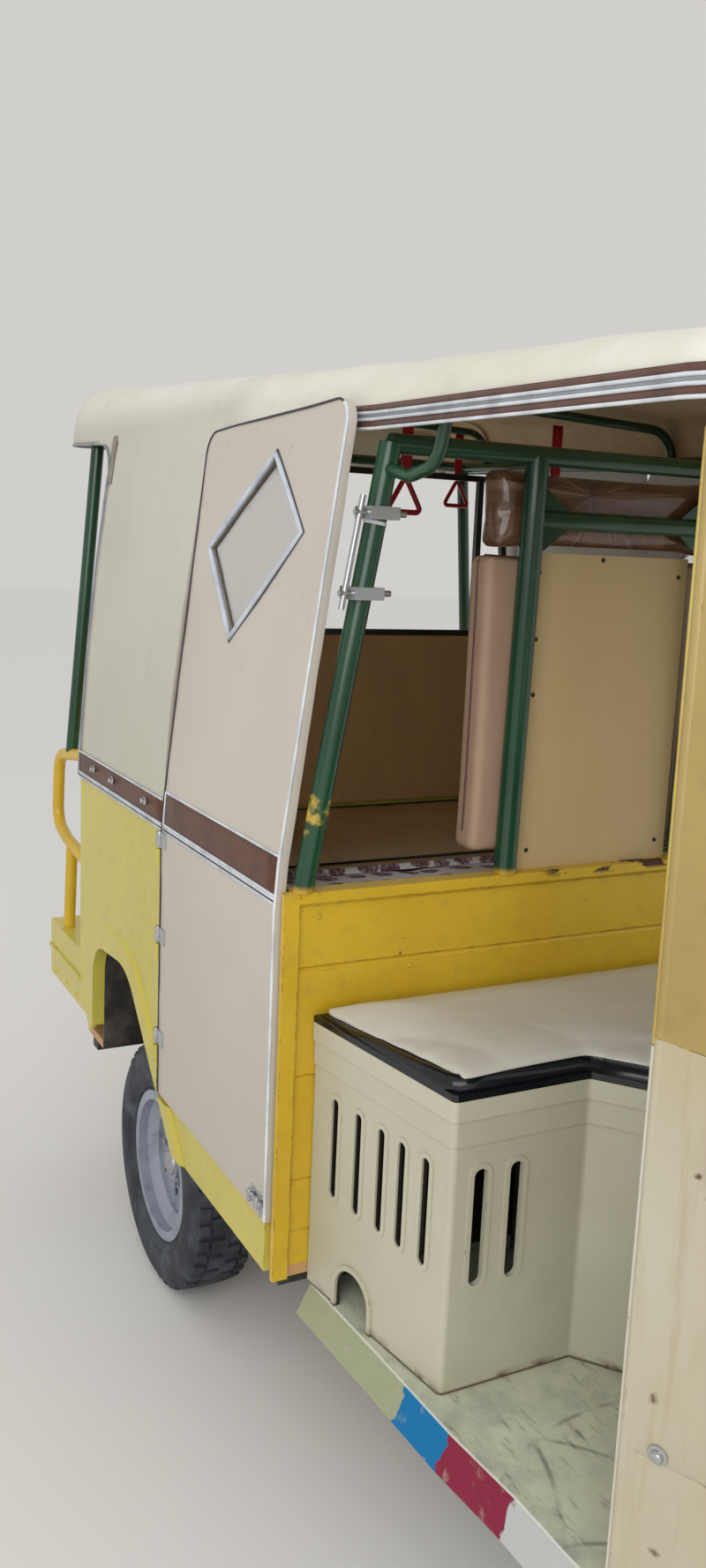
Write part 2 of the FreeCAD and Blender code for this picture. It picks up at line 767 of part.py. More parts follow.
def handlebar():
    """A bent bar in a clamp round the stem."""
    half_u, half_y = CLAMP_HALF
    clamp = block((-half_u, -half_y, CLAMP_LOW), (half_u, half_y, CLAMP_HIGH))
    clamp = clamp.cut(rod(spot(0, 0, CLAMP_LOW - PAST), spot(0, 0, CLAMP_HIGH + PAST), STEM_R))
    middle = on_steering(BAR_AHEAD, 0, (CLAMP_LOW + CLAMP_HIGH) / 2)
    left = [(spot(middle.x - back, y, middle.z + up), BAR_BEND) for back, y, up in BAR]
    right = [(mirror_spot(place), bend) for place, bend in reversed(left)]
    return join(steered(clamp), tube(left + right, BAR_R))


def front_mudguard():
    """A channel-shaped guard rolled round the wheel, and its two stays on the legs."""
    skirt = MUDGUARD_IN - MUDGUARD_SKIRT
    outer = MUDGUARD_IN + MUDGUARD_T
    inner_half = MUDGUARD_HALF - MUDGUARD_T
    inner_r = MUDGUARD_R - MUDGUARD_T
    # radius, y, bend radius
    section = [
        (skirt, -MUDGUARD_HALF, 0),
        (outer, -MUDGUARD_HALF, MUDGUARD_R),
        (outer, MUDGUARD_HALF, MUDGUARD_R),
        (skirt, MUDGUARD_HALF, 0),
        (skirt, inner_half, 0),
        (MUDGUARD_IN, inner_half, inner_r),
        (MUDGUARD_IN, -inner_half, inner_r),
        (skirt, -inner_half, 0),
    ]
    wire = rounded_wire([(spot(r, y, 0), radius) for r, y, radius in section])
    guard = Part.Face(wire).revolve(ORIGIN, Y, MUDGUARD_START - MUDGUARD_END)
    guard.rotate(ORIGIN, Y, -MUDGUARD_START)
    guard.translate(spot(WHEELBASE, 0, WHEEL_R))
    pieces = [guard]
    for side in SIDES:
        ends = sorted([side * MUDGUARD_HALF, side * (LEG_Y - STANCHION_R)])
        pieces.append(steered(block((TRAIL_OFFSET - STAY_HALF, ends[0], STAY_LOW),
                                    (TRAIL_OFFSET + STAY_HALF, ends[1], STAY_HIGH))))
    return join(*pieces)


# Cab

def cowl_section(row, inset, lift):
    """Plan outline of the cab's nose; inset moves the walls inwards and opens the back."""
    z, rear, half, nose, nose_half, radius = row
    back = WHEELBASE - rear - (COWL_OPEN if inset else 0)
    front = WHEELBASE - nose - inset
    corner = radius - inset / 2
    return in_xy([
        (back, inset - half, 0),
        (front, inset - nose_half, corner),
        (front, nose_half - inset, corner),
        (back, half - inset, 0),
    ], z + lift)


def lofted(rows, inset, ruled, extend=0):
    """The nose between its first and last row, each end drawn out by extend."""
    lifts = [-extend] + [0] * (len(rows) - 2) + [extend]
    sections = [cowl_section(row, inset, lift) for row, lift in zip(rows, lifts)]
    return Part.makeLoft(sections, True, ruled)


def rolled_edge(*rows):
    """The bead along the left rear edge between two rows."""
    low, high = [spot(WHEELBASE - row[1], row[2] - BEAD_IN, row[0]) for row in rows]
    past = (high - low).normalize() * BEAD_R
    between = block((0, 0, low.z), (WHEELBASE, TUB_HALF, high.z))
    return rod(low - past, high + past, BEAD_R).common(between)


def front_cowl():
    """A foot round the cab floor and, above it, the bulging nose that carries the lamps."""
    foot = lofted(COWL_LOWER, 0, True).cut(lofted(COWL_LOWER, COWL_WALL, True, 1))
    beads = both_sides(rolled_edge(COWL_LOWER[0], BELTLINE))
    raised = (COWL_SPLIT + COWL_WALL,) + COWL_NOSE[0][1:]
    hollow = lofted([raised] + COWL_NOSE[1:], COWL_WALL, False)
    through = lofted(COWL_LOWER, COWL_WALL, True, COWL_WALL + PAST)
    nose = lofted(COWL_NOSE, 0, False).cut(hollow).cut(through)
    cuts = [steered(rod(ORIGIN, spot(0, 0, HEAD_HIGH), HEAD_R + HEAD_ROOM))]
    for side in SIDES:
        for face, y, z, radius in ((LAMP_FACE, LAMP_Y, LAMP_Z, LAMP_R),
                                   (SIGNAL_FACE, SIGNAL_Y, SIGNAL_Z, SIGNAL_R)):
            place = spot(face, side * y, z)
            cuts.append(rod(place - X * (LAMP_DEPTH + COWL_OPEN), place + X * LAMP_R, radius + GAP))
    return join(foot, nose, *beads).cut(Part.makeCompound(cuts))


def head_lamps():
    """Two round headlamps and two round signals, set in the nose."""
    profile = [(spot(LAMP_FACE - depth, radius, 0), 0) for depth, radius in LAMP_SHELL]
    lamp = Part.Face(rounded_wire(profile)).revolve(ORIGIN, X, 360)
    lamps = []
    for side in SIDES:
        face = spot(SIGNAL_FACE, side * SIGNAL_Y, SIGNAL_Z)
        lamps.append(lamp.translated(spot(0, side * LAMP_Y, LAMP_Z)))
        lamps.append(rod(face - X * SIGNAL_DEPTH, face, SIGNAL_R))
    return lamps


def window_prism(grow):
    (low, low_half), (high, high_half) = GLASS
    outline = in_yz([
        (-low_half - grow, low - grow, GLASS_R),
        (low_half + grow, low - grow, GLASS_R),
        (high_half + grow, high + grow, GLASS_R),
        (-high_half - grow, high + grow, GLASS_R),
    ], WHEELBASE - BELTLINE[1])
    return slab(outline, X * BELTLINE[1])


def windshield():
    """The frame round the driver's screen, and the pane in its groove."""
    shell = lofted(SHIELD, 0, True).cut(lofted(SHIELD, COWL_WALL, True, PAST))
    sheet = lofted(SHIELD, GLASS_SET, True).cut(lofted(SHIELD, GLASS_SET + GLASS_T, True, PAST))
    pane = sheet.common(window_prism(GLASS_GROOVE))
    frame = join(shell.cut(window_prism(0)), *both_sides(rolled_edge(*SHIELD)))
    return frame.cut(pane), pane


def cab_floor():
    """The floor plate, with a sill of sheet steel turned down and out along each side."""
    run = FLOOR_FRONT - FLOOR_REAR
    edge = [(FLOOR_REAR + run * share, TUB_HALF - inward) for share, inward in FLOOR_EDGE]
    z, rear, half, nose, nose_half, nose_r = COWL_LOWER[0]
    right = [(x, -y, 0) for x, y in edge] + [(WHEELBASE - nose, -nose_half, nose_r)]
    left = [(x, -y, radius) for x, y, radius in reversed(right)]
    under = CAB_FLOOR_TOP - FLOOR_T
    pieces = [slab(in_xy(right + left, under), Z * FLOOR_T)]
    foot = CAB_FLOOR_TOP - SILL_DROP
    for pair in zip(edge[:-1], edge[1:-1]):
        ends = []
        for x, y in pair:
            ends.append(in_yz([
                (y - 1, CAB_FLOOR_TOP, 0),
                (y, CAB_FLOOR_TOP, 0),
                (y + SILL_SPREAD, foot, 0),
                (y + SILL_SPREAD - SILL_T, foot, 0),
                (y - SILL_T - 1, under, 0),
            ], x))
        pieces += both_sides(Part.makeLoft(ends, True, True))
    return join(*pieces).cut(neck_tube(NECK_R + GAP))


# Seat box over the engine

def box_plan(grow, z):
    rear = BOX_SIDE[0][0]
    right = []
    for ahead, inward in BOX_SIDE:
        x = TUB_FRONT + ahead
        if ahead > rear:
            right.append((x + grow, inward - TUB_HALF - grow, BOX_CORNER_R))
        else:
            right.append((x, inward - TUB_HALF - grow, 0))
    left = [(x, -y, radius) for x, y, radius in reversed(right)]
    return in_xy(right + left, z)


def slot(width, low, high, depth):
    """An upright slot with round ends, centred on the local z axis and cut along local x."""
    r = width / 2
    pieces = [block((-depth, -r, low + r), (depth, r, high - r))]
    for z in (low + r, high - r):
        pieces.append(rod(spot(-depth, 0, z), spot(depth, 0, z), r))
    return join(*pieces)


def rim_and_slot(size, edge):
    """The raised rim pressed round a slot, and the slot itself."""
    width, low, high = size
    wide, out = edge
    rim_solid = slot(width + 2 * wide, low - wide, high + wide, out)
    return rim_solid, slot(width, low, high, BOX_WALL * 2)


def on_box_side(shape, along):
    """Stands a shape made at the origin on the right side of the box, along from its rear."""
    (x0, in0), (x1, in1) = BOX_SIDE[:2]
    length = math.hypot(x1 - x0, in1 - in0)
    turn = 90 + math.degrees(math.atan2(in1 - in0, x1 - x0))
    share = along / length
    placed = shape.copy()
    placed.rotate(ORIGIN, Z, turn)
    x = TUB_FRONT + x0 + (x1 - x0) * share
    placed.translate(spot(x, in0 + (in1 - in0) * share - TUB_HALF, 0))
    return placed


def seat_box():
    """Folded steel round the engine, with a lip at the top, slots, and a hole over each sill."""
    height = BOX_TOP - CAB_FLOOR_TOP
    rear, front = TUB_FRONT + BOX_SIDE[0][0], TUB_FRONT + BOX_SIDE[1][0]
    outside = [
        slab(box_plan(0, CAB_FLOOR_TOP), Z * height),
        slab(box_plan(BOX_LIP, BOX_LIP_LOW), Z * (BOX_TOP - BOX_LIP_LOW)),
    ]
    hollow = slab(box_plan(-BOX_WALL, CAB_FLOOR_TOP - PAST), Z * (height + 2 * PAST))
    behind = block((rear, -TUB_HALF, 0), (rear + BOX_WALL, TUB_HALF, LID_TOP))
    cuts = [hollow.cut(behind)]
    raised, hole = rim_and_slot(SIDE_SLOT, SLOT_RIM)
    for along in SIDE_SLOTS:
        outside += both_sides(on_box_side(raised, along))
        cuts += both_sides(on_box_side(hole, along))
    raised, hole = rim_and_slot(FRONT_SLOT, SLOT_RIM)
    for y in FRONT_SLOTS:
        outside += both_sides(raised.translated(spot(front, -y, 0)))
        cuts += both_sides(hole.translated(spot(front, -y, 0)))
    along, radius, top = CABLE_HOLE
    raised, hole = rim_and_slot((2 * radius, CAB_FLOOR_TOP - radius, top), CABLE_RIM)
    raised = raised.cut(block((-TUB_HALF, -TUB_HALF, 0), (TUB_HALF, TUB_HALF, CAB_FLOOR_TOP)))
    outside += both_sides(on_box_side(raised, along))
    cuts += both_sides(on_box_side(hole, along))
    return join(*outside).cut(Part.makeCompound(cuts))


def seat_lid():
    return slab(box_plan(LID_LIP, BOX_TOP), Z * (LID_TOP - BOX_TOP))


def driver_cushion():
    pad = slab(box_plan(LID_LIP - CUSHION_IN, LID_TOP), Z * (CUSHION_TOP - LID_TOP))
    top = [edge for edge in pad.Edges if edge.BoundBox.ZMin > CUSHION_TOP - 1]
    return pad.makeFillet(CUSHION_R, top)


# Tub

def tub_front_panel():
    """Pressed front wall with grooves across it and a flange along its top."""
    half = TUB_HALF - CHANNEL_W
    rear = TUB_FRONT - TUB_PANEL
    points = [(rear, TUB_FLOOR_TOP, 0), (TUB_FRONT, TUB_FLOOR_TOP, 0)]
    for z in GROOVES:
        points.append((TUB_FRONT, z - GROOVE_H, 0))
        points.append((TUB_FRONT - GROOVE_DEPTH, z, 0))
        points.append((TUB_FRONT, z + 1, 0))
    points += [
        (TUB_FRONT, FRONT_TOP - FLANGE_H, 0),
        (TUB_FRONT + FLANGE_OUT, FRONT_TOP - FLANGE_H + FLANGE_LEAN, 0),
        (TUB_FRONT + FLANGE_OUT, FRONT_TOP, FLANGE_R),
        (rear, FRONT_TOP, 0),
    ]
    return slab(in_xz(points, -half), Y * (2 * half))


def corner_channels():
    inner = TUB_HALF - CHANNEL_W
    rear = TUB_FRONT - CHANNEL_SET
    face = block((rear, inner, TUB_BOTTOM), (rear + CHANNEL_T, TUB_HALF, FRONT_TOP))
    back = block((TUB_FRONT - CHANNEL_FLANGE, inner, TUB_BOTTOM), (rear, inner + RETURN_T, FRONT_TOP))
    return both_sides(join(face, back))


def arch_corners(grow=0):
    corners = []
    for x, z, radius, step_x, step_z in ARCH:
        corners.append((x + step_x * grow, z + step_z * grow, radius + grow if radius else 0))
    return corners


def arch_prism(grow, low_y, depth, foot):
    """The arch's outline brought down to a height and pulled across."""
    corners = arch_corners(grow)
    if foot < TUB_BOTTOM:
        corners.append((corners[-1][0], foot, 0))
    corners.append((corners[0][0], foot, 0))
    return slab(in_xz(corners, low_y), Y * depth)


def tub_side():
    """The left side: its wall cut for the wheel and the door, a flare round the arch, hinges."""
    front = TUB_FRONT - CHANNEL_FLANGE
    opening = arch_corners()
    rear_foot, front_foot = opening[0], opening[-1]
    outline = [
        (TUB_REAR, TUB_REAR_BOTTOM, 0),
        (TUB_REAR, BELT_TOP, 0),
        (DOORWAY_REAR, BELT_TOP, 0),
        (DOORWAY_REAR, SILL_TOP, SILL_R),
        (front, SILL_TOP, 0),
        (front, TUB_BOTTOM, 0),
        (front_foot[0], TUB_BOTTOM, ARCH_FOOT_R),
        opening[2],
        opening[1],
        rear_foot,
    ]
    # the flare slopes from its foot on the wall to a narrower face
    faces = []
    for grow, y in ((FLARE_W, TUB_HALF), (FLARE_W - FLARE_SLOPE, TUB_HALF + FLARE_T)):
        faces.append(in_xz(arch_corners(grow) + [(front_foot[0], TUB_BOTTOM, 0)], y))
    flare = Part.makeLoft(faces, True, True)
    flare = flare.cut(arch_prism(0, TUB_INNER, 2 * TUB_WALL, ARCH_BELOW))
    doorway = block((DOORWAY_REAR - PAST, TUB_INNER, SILL_TOP - PAST),
                    (TUB_FRONT, DOOR_FACE + LEAF_W, BELT_TOP))
    pieces = [slab(in_xz(outline, TUB_INNER), Y * TUB_WALL), flare.cut(doorway)]
    for z in HINGE_HEIGHTS:
        low, high = z - LEAF_H / 2, z - PAST
        pieces.append(block((HINGE_X - LEAF_W, TUB_HALF, low), (HINGE_X, TUB_HALF + LEAF_T, high)))
        pieces.append(rod(spot(HINGE_X, HINGE_Y, low), spot(HINGE_X, HINGE_Y, high), KNUCKLE_R))
    return join(*pieces)


def wheel_houses():
    """Steel boxes over the rear tyres, open towards the outside and below."""
    low_y = TUB_INNER - ARCH_DEPTH
    whole = arch_prism(ARCH_WALL, low_y, ARCH_DEPTH, TUB_BOTTOM)
    hollow = arch_prism(0, low_y + ARCH_WALL, ARCH_DEPTH, ARCH_BELOW)
    return both_sides(whole.cut(hollow))


def house_spaces():
    """What the wheel houses take out of the floor and the rear bench, on both sides."""
    grow = ARCH_WALL + GAP
    left = arch_prism(grow, TUB_INNER - ARCH_DEPTH - GAP, ARCH_DEPTH + TUB_WALL, ARCH_BELOW)
    return Part.makeCompound(both_sides(left))


def tub_floor():
    rear = block((TUB_REAR + TUB_WALL, -TUB_INNER, TUB_BOTTOM),
                 (TUB_FRONT - CHANNEL_FLANGE, TUB_INNER, TUB_FLOOR_TOP))
    front = block((TUB_FRONT - CHANNEL_FLANGE, CHANNEL_W - TUB_HALF, TUB_BOTTOM),
                  (TUB_FRONT, TUB_HALF - CHANNEL_W, TUB_FLOOR_TOP))
    return join(rear, front).cut(house_spaces())


def tub_rear_panel():
    return block((TUB_REAR, -TUB_INNER, TUB_BOTTOM), (TUB_REAR + TUB_WALL, TUB_INNER, BELT_TOP))


def rear_step():
    """A box of sheet steel behind the tub, open below, with a pressed rib round it."""
    body = block((STEP_REAR, -TUB_HALF, TUB_REAR_BOTTOM), (TUB_REAR, TUB_HALF, STEP_TOP))
    rib = block((STEP_REAR - RIB_OUT, -TUB_HALF - RIB_OUT, RIB_Z),
                (TUB_REAR, TUB_HALF + RIB_OUT, RIB_Z + RIB_H))
    hollow = block((STEP_REAR + STEP_WALL, STEP_WALL - TUB_HALF, 0),
                   (TUB_REAR + PAST, TUB_HALF - STEP_WALL, STEP_TOP - STEP_WALL))
    return join(body, rib).cut(hollow)


def tail_lamps():
    seat = spot(STEP_REAR, TAIL_Y, TAIL_Z)
    return both_sides(rod(seat, seat - X * TAIL_T, TAIL_R))


def grab_rails():
    """A hoop of tube from the tub's rear corner, with a leg down to the step."""
    hoop = tube([(spot(TUB_REAR - back, GRAB_Y, z), bend) for back, z, bend in GRAB], GRAB_R)
    head, foot, head_z = GRAB_LEG
    leg = rod(spot(TUB_REAR - head, GRAB_Y, head_z), spot(TUB_REAR - foot, GRAB_Y, STEP_TOP - PAST), GRAB_R)
    return both_sides(join(hoop, cut_below(leg, STEP_TOP)))


def cut_below(shape, z):
    bounds = shape.BoundBox
    return shape.cut(block((bounds.XMin - 1, bounds.YMin - 1, bounds.ZMin - 1),
                           (bounds.XMax + 1, bounds.YMax + 1, z)))


# Roof

def roof_column(x, column):
    return spread(x, [(row[0], row[column]) for row in CANOPY])


def roof_half(x):
    return roof_column(x, 1)


def roof_edge(x):
    return roof_column(x, 2)


def roof_shoulder(x):
    return roof_column(x, 3)


def roof_section(x, half, edge, shoulder, crown, radius):
    return in_yz([
        (-half, edge, 0),
        (ROOF_LEAN - half, shoulder, radius),
        (0, crown, CROWN_R),
        (half - ROOF_LEAN, shoulder, radius),
        (half, edge, 0),
    ], x)


def roof_shell(stations, low_end, high_end):
    """An open-bottomed shell; its hollow stops at the ends named here."""
    outer = []
    inner = []
    for x, *sizes in stations:
        outer.append(roof_section(x, *sizes))
        place = min(max(x, low_end), high_end)
        inner.append(roof_section(place, *[size - ROOF_WALL for size in sizes]))
    return Part.makeLoft(outer, True, True).cut(Part.makeLoft(inner, True, True))


def roof_canopy():
    return roof_shell(CANOPY, CANOPY[0][0] + ROOF_WALL, CANOPY[-1][0] + 1)


def roof_front():
    return roof_shell(ROOF_NOSE, ROOF_NOSE[0][0] - 1, ROOF_NOSE[-1][0] - ROOF_WALL)


# Green tube frame

def rail_spot(x, side=1):
    return spot(x, side * (roof_half(x) - RAIL_INSET), roof_edge(x) + RAIL_LIFT)


def roof_rails():
    """A rail along each side of the roof, and the hoops that carry its crown."""
    pieces = []
    for side in SIDES:
        pieces.append(tube([(rail_spot(x, side), RAIL_BEND) for x in RAIL_STATIONS], ROOF_RAIL_R))
    for x in HOOPS:
        foot = rail_spot(x)
        shoulder = spot(x, foot.y - HOOP_IN, roof_shoulder(x) - HOOP_DROP)
        pieces.append(tube([
            (mirror_spot(foot), 0),
            (mirror_spot(shoulder), HOOP_BEND),
            (spot(x, 0, shoulder.z + HOOP_CROWN), HOOP_CROWN_R),
            (shoulder, HOOP_BEND),
            (foot, 0),
        ], HOOP_R))
    front = rail_spot(RAIL_STATIONS[-1] - HOOP_R)
    pieces.append(rod(mirror_spot(front), front, HOOP_R))
    return join(*pieces)


def post_line(z):
    """Middle of the left outer partition post at a height."""
    foot = spot(TUB_FRONT, POST_FOOT_Y, FRONT_TOP)
    head = spot(BEAM_X, POST_HEAD_Y, BEAM_Z)
    return foot + (head - foot) * ((z - FRONT_TOP) / (BEAM_Z - FRONT_TOP))


def partition_frame():
    """Posts on the tub's front flange, the beam and crossbar between them, and two braces."""
    foot_z = FRONT_TOP - POST_R
    outer = cut_below(rod(post_line(foot_z), post_line(BEAM_Z), POST_R), FRONT_TOP)
    inner = rod(spot(INNER_FOOT_X, INNER_POST_Y, foot_z), spot(BEAM_X, INNER_POST_Y, BEAM_Z), INNER_POST_R)
    brace_y = POST_HEAD_Y + 4
    brace = [(post_line(BRACE_Z), 0)]
    brace += [(spot(TUB_FRONT + ahead, brace_y, z), BRACE_BEND) for ahead, z in BRACE]
    brace.append((spot(BRACE_HEAD_X, brace_y, roof_edge(BRACE_HEAD_X) + RAIL_LIFT), 0))
    pieces = both_sides(outer) + both_sides(cut_below(inner, FRONT_TOP)) + both_sides(tube(brace, BRACE_R))
    for x, z, half in ((BEAM_X, BEAM_Z, POST_HEAD_Y), (CROSSBAR_X, CROSSBAR_Z, INNER_POST_Y)):
        pieces.append(rod(spot(x, -half, z), spot(x, half, z), BEAM_R))
    return join(*pieces).cut(roof_rails())


def rear_posts():
    """Posts from the grab rails up to the roof rails, and the bar across their heads."""
    head = rail_spot(REAR_POST_X)
    grab_z = spread(TUB_REAR - REAR_POST_X, [(back, z) for back, z, bend in GRAB[1:3]])
    foot = spot(REAR_POST_X, GRAB_Y, grab_z + GRAB_R / 2)
    inward = Y * (REAR_POST_R - ROOF_RAIL_R + 1)
    pieces = both_sides(rod(foot, head - inward, REAR_POST_R))
    pieces.append(rod(mirror_spot(head), head, ROOF_RAIL_R))
    return join(*pieces).cut(Part.makeCompound(grab_rails())).cut(roof_rails())


def post_bracket():
    """Two clamps on the right post, each with studs, and a rod between them."""
    pieces = []
    ahead, out = BRACKET_ROD
    for z in BRACKET_HEIGHTS:
        middle = mirror_spot(post_line(z))
        pieces.append(block((middle.x - CLAMP_X[0], middle.y - CLAMP_Y, z - CLAMP_Z),
                            (middle.x + CLAMP_X[1], middle.y + CLAMP_Y, z + CLAMP_Z)))
        pieces.append(rod(middle, middle + Y * STUD_REACH, STUD_R))
        pieces.append(rod(middle + X * ahead, middle + X * ahead - Y * (out + CLAMP_Z), STUD_R))
    ends = []
    for z in (BRACKET_HEIGHTS[0] - CLAMP_Y, BRACKET_HEIGHTS[1] + CLAMP_Y):
        ends.append(mirror_spot(post_line(z)) + X * ahead - Y * out)
    pieces.append(rod(ends[0], ends[1], STUD_R))
    return join(*pieces).cut(partition_frame())


# Curtains and doors

def curtain_section(x, top_half, top):
    low = spot(x, TUB_HALF, BELT_TOP)
    mid = spot(x, CURTAIN_MID_HALF, CURTAIN_MID_Z)
    high = spot(x, top_half, top)
    inward = Y * CURTAIN_T
    return Part.Wire([
        Part.Arc(low, mid, high).toShape(),
        Part.LineSegment(high, high - inward).toShape(),
        Part.Arc(high - inward, mid - inward, low - inward).toShape(),
        Part.LineSegment(low - inward, low).toShape(),
    ])


def side_curtains():
    rear = curtain_section(TUB_REAR, CURTAIN_TOP_REAR_HALF, roof_edge(TUB_REAR))
    front = curtain_section(CURTAIN_FRONT, CURTAIN_TOP_FRONT_HALF, roof_edge(CURTAIN_FRONT))
    return both_sides(Part.makeLoft([rear, front], True, True))


def door_profile(x, shift, thickness):
    """Section across the door, a little taller than the door itself."""
    share = (x - DOOR_REAR) / (DOOR_FRONT - DOOR_REAR)
    head_half = DOOR_TOP_REAR_HALF + (DOOR_TOP_FRONT_HALF - DOOR_TOP_REAR_HALF) * share
    lean = (DOOR_FACE - head_half) / (DOOR_TOP - DOOR_BEND)
    out = DOOR_FACE - shift
    line = [
        (out, DOOR_BOTTOM - DOOR_TRIM),
        (out, DOOR_BEND - DOOR_EASE),
        (out - lean * DOOR_EASE, DOOR_BEND + DOOR_EASE),
        (head_half - shift - lean * DOOR_TRIM, DOOR_TOP + DOOR_TRIM),
    ]
    outside = [(y, z, 0) for y, z in line]
    inside = [(y - thickness, z, 0) for y, z in reversed(line)]
    return in_yz(outside + inside, x)


def door_sheet(shift, thickness):
    ends = [door_profile(x, shift, thickness) for x in (DOOR_REAR - DOOR_TRIM, DOOR_FRONT + DOOR_TRIM)]
    return Part.makeLoft(ends, True, True)


def across_door(points):
    """A prism through the left door. points: (x, z, radius)."""
    inner = DOOR_TOP_FRONT_HALF - 2 * DOOR_TRIM - DOOR_T
    return slab(in_xz(points, inner), Y * (DOOR_FACE + DOOR_TRIM - inner))


def diamond_prism(grow):
    corners = [(TUB_FRONT - back, z) for back, z in DIAMOND]
    centre_x = sum(x for x, z in corners) / len(corners)
    centre_z = sum(z for x, z in corners) / len(corners)
    points = []
    for x, z in corners:
        size = math.hypot(x - centre_x, z - centre_z)
        scale = (size + grow * math.sqrt(2)) / size
        points.append((centre_x + (x - centre_x) * scale, centre_z + (z - centre_z) * scale, DIAMOND_R))
    return across_door(points)


def door():
    """The left door: a padded panel that leans in above the belt, its pane, hinges and bolt."""
    outline = across_door([
        (DOOR_REAR, DOOR_BOTTOM, 0),
        (DOOR_FRONT, DOOR_BOTTOM, 0),
        (DOOR_FRONT, DOOR_TOP, DOOR_CORNER_R),
        (DOOR_REAR, DOOR_TOP - DOOR_TOP_FALL, DOOR_CORNER_R),
    ])
    panel = door_sheet(0, DOOR_T).common(outline)
    pane = door_sheet((DOOR_T - PANE_T) / 2, PANE_T).common(diamond_prism(PANE_LIP))
    pieces = [panel.cut(diamond_prism(0)).cut(pane)]
    for z in HINGE_HEIGHTS:
        low, high = z + GAP, z + LEAF_H / 2
        pieces.append(rod(spot(HINGE_X, HINGE_Y, low), spot(HINGE_X, HINGE_Y, high), KNUCKLE_R))
        pieces.append(block((HINGE_X, DOOR_FACE, low), (HINGE_X + LEAF_W, DOOR_FACE + LEAF_T, high)))
    bolt = spot(DOOR_FRONT - BOLT_END, DOOR_FACE + BOLT_R + BOLT_LIFT, BOLT_Z)
    pieces.append(rod(bolt - X * BOLT_LENGTH, bolt, BOLT_R))
    for back in KEEPERS:
        x = DOOR_FRONT - back
        pieces.append(block((x, DOOR_FACE, BOLT_Z - KEEPER_HALF),
                            (x + KEEPER_W, bolt.y + BOLT_R + BOLT_LIFT, BOLT_Z + KEEPER_HALF)))
    return join(*pieces), pane


# Inside the tub

def bench(low, high, top, upright):
    """A seat board with one board standing under its open side."""
    seat = block((low, -BENCH_HALF, top - BOARD_T), (high, BENCH_HALF, top))
    return join(seat, block((upright, -BENCH_HALF, TUB_FLOOR_TOP), (upright + BOARD_T, BENCH_HALF, top)))


def bench_boxes():
    low, high = REAR_BENCH
    rear = bench(low, high, REAR_BENCH_TOP - BENCH_PAD, high - BOARD_T).cut(house_spaces())
    low, high = FRONT_BENCH
    front = bench(low, high, FRONT_BENCH_TOP - BENCH_PAD, low)
    # the corners beside the tub's corner channels are notched
    notch = block((TUB_FRONT - CHANNEL_FLANGE - 1, TUB_HALF - CHANNEL_W - 1, TUB_FLOOR_TOP),
                  (high + 1, TUB_HALF, FRONT_TOP))
    return [rear, front.cut(Part.makeCompound(both_sides(notch)))]


def bench_cushion(low, high, top):
    half = BENCH_HALF - BENCH_PAD_IN
    pad = block((low, -half, top - BENCH_PAD), (high, half, top))
    return pad.makeFillet(BENCH_PAD_R, [edge for edge in pad.Edges if edge.BoundBox.ZMin > top - 1])


def upright_block(rear, front, half, low, high):
    return block((rear, -half, low), (front, half, high))


def padded_block(*sizes):
    pad = upright_block(*sizes)
    return pad.makeFillet(BACK_PAD_R, pad.Edges)


def lining_half(z):
    """Half width between the curtains at a height, with a little clearance."""
    return TUB_HALF - spread(z, CURTAIN_LINE) - CURTAIN_CLEAR


def rear_lining():
    low_half = TUB_INNER - 1
    top_half = lining_half(LINING_TOP)
    right = [(-low_half, LINING_LOW, 0), (-low_half, BELT_TOP, 0), (-top_half, LINING_TOP, 0)]
    left = [(-y, z, 0) for y, z, radius in reversed(right)]
    return slab(in_yz(right + left, LINING_X), X * LINING_T)


def rear_window_frame():
    """A frame above the lining, with two mullions."""
    corners = [(lining_half(LINING_TOP), LINING_TOP), (lining_half(WINDOW_TOP), WINDOW_TOP)]
    slabs = []
    for inset, past in ((0, 0), (BAR_W, PAST)):
        (low_half, low), (high_half, high) = corners
        outline = in_yz([
            (inset - low_half, low + inset, 0),
            (low_half - inset, low + inset, 0),
            (high_half - inset, high - inset, 0),
            (inset - high_half, high - inset, 0),
        ], LINING_X - past)
        slabs.append(slab(outline, X * (LINING_T + 2 * past)))
    pieces = [slabs[0].cut(slabs[1])]
    mullion = block((LINING_X, MULLION_Y - BAR_W / 2, LINING_TOP + 1),
                    (LINING_X + LINING_T, MULLION_Y + BAR_W / 2, WINDOW_TOP - 1))
    return join(*pieces, *both_sides(mullion))


def strap_handles():
    """Flat straps under the hoops, each with a three-cornered ring."""
    handles = []
    half_x, half_y = STRAP_HALF
    for x, y in STRAPS:
        high = roof_shoulder(x) - HOOP_DROP - HOOP_R - STRAP_SLACK
        low = high - STRAP_LENGTH
        corners = [
            spot(x, y, low),
            spot(x, y - RING_HALF, low - RING_H),
            spot(x, y + RING_HALF, low - RING_H),
        ]
        pieces = [block((x - half_x, y - half_y, low), (x + half_x, y + half_y, high))]
        for index, corner in enumerate(corners):
            pieces.append(rod(corner, corners[index - 1], RING_R))
            pieces.append(Part.makeSphere(RING_R, corner))
        handles += both_sides(join(*pieces))
    return handles


def dome_lamp():
    x, y, half_x, half_y, depth, drop = DOME_LAMP
    oval = Part.Ellipse(spot(x, y, roof_shoulder(x) - drop), half_x, half_y).toShape()
    return slab(Part.Wire([oval]), Z * depth)


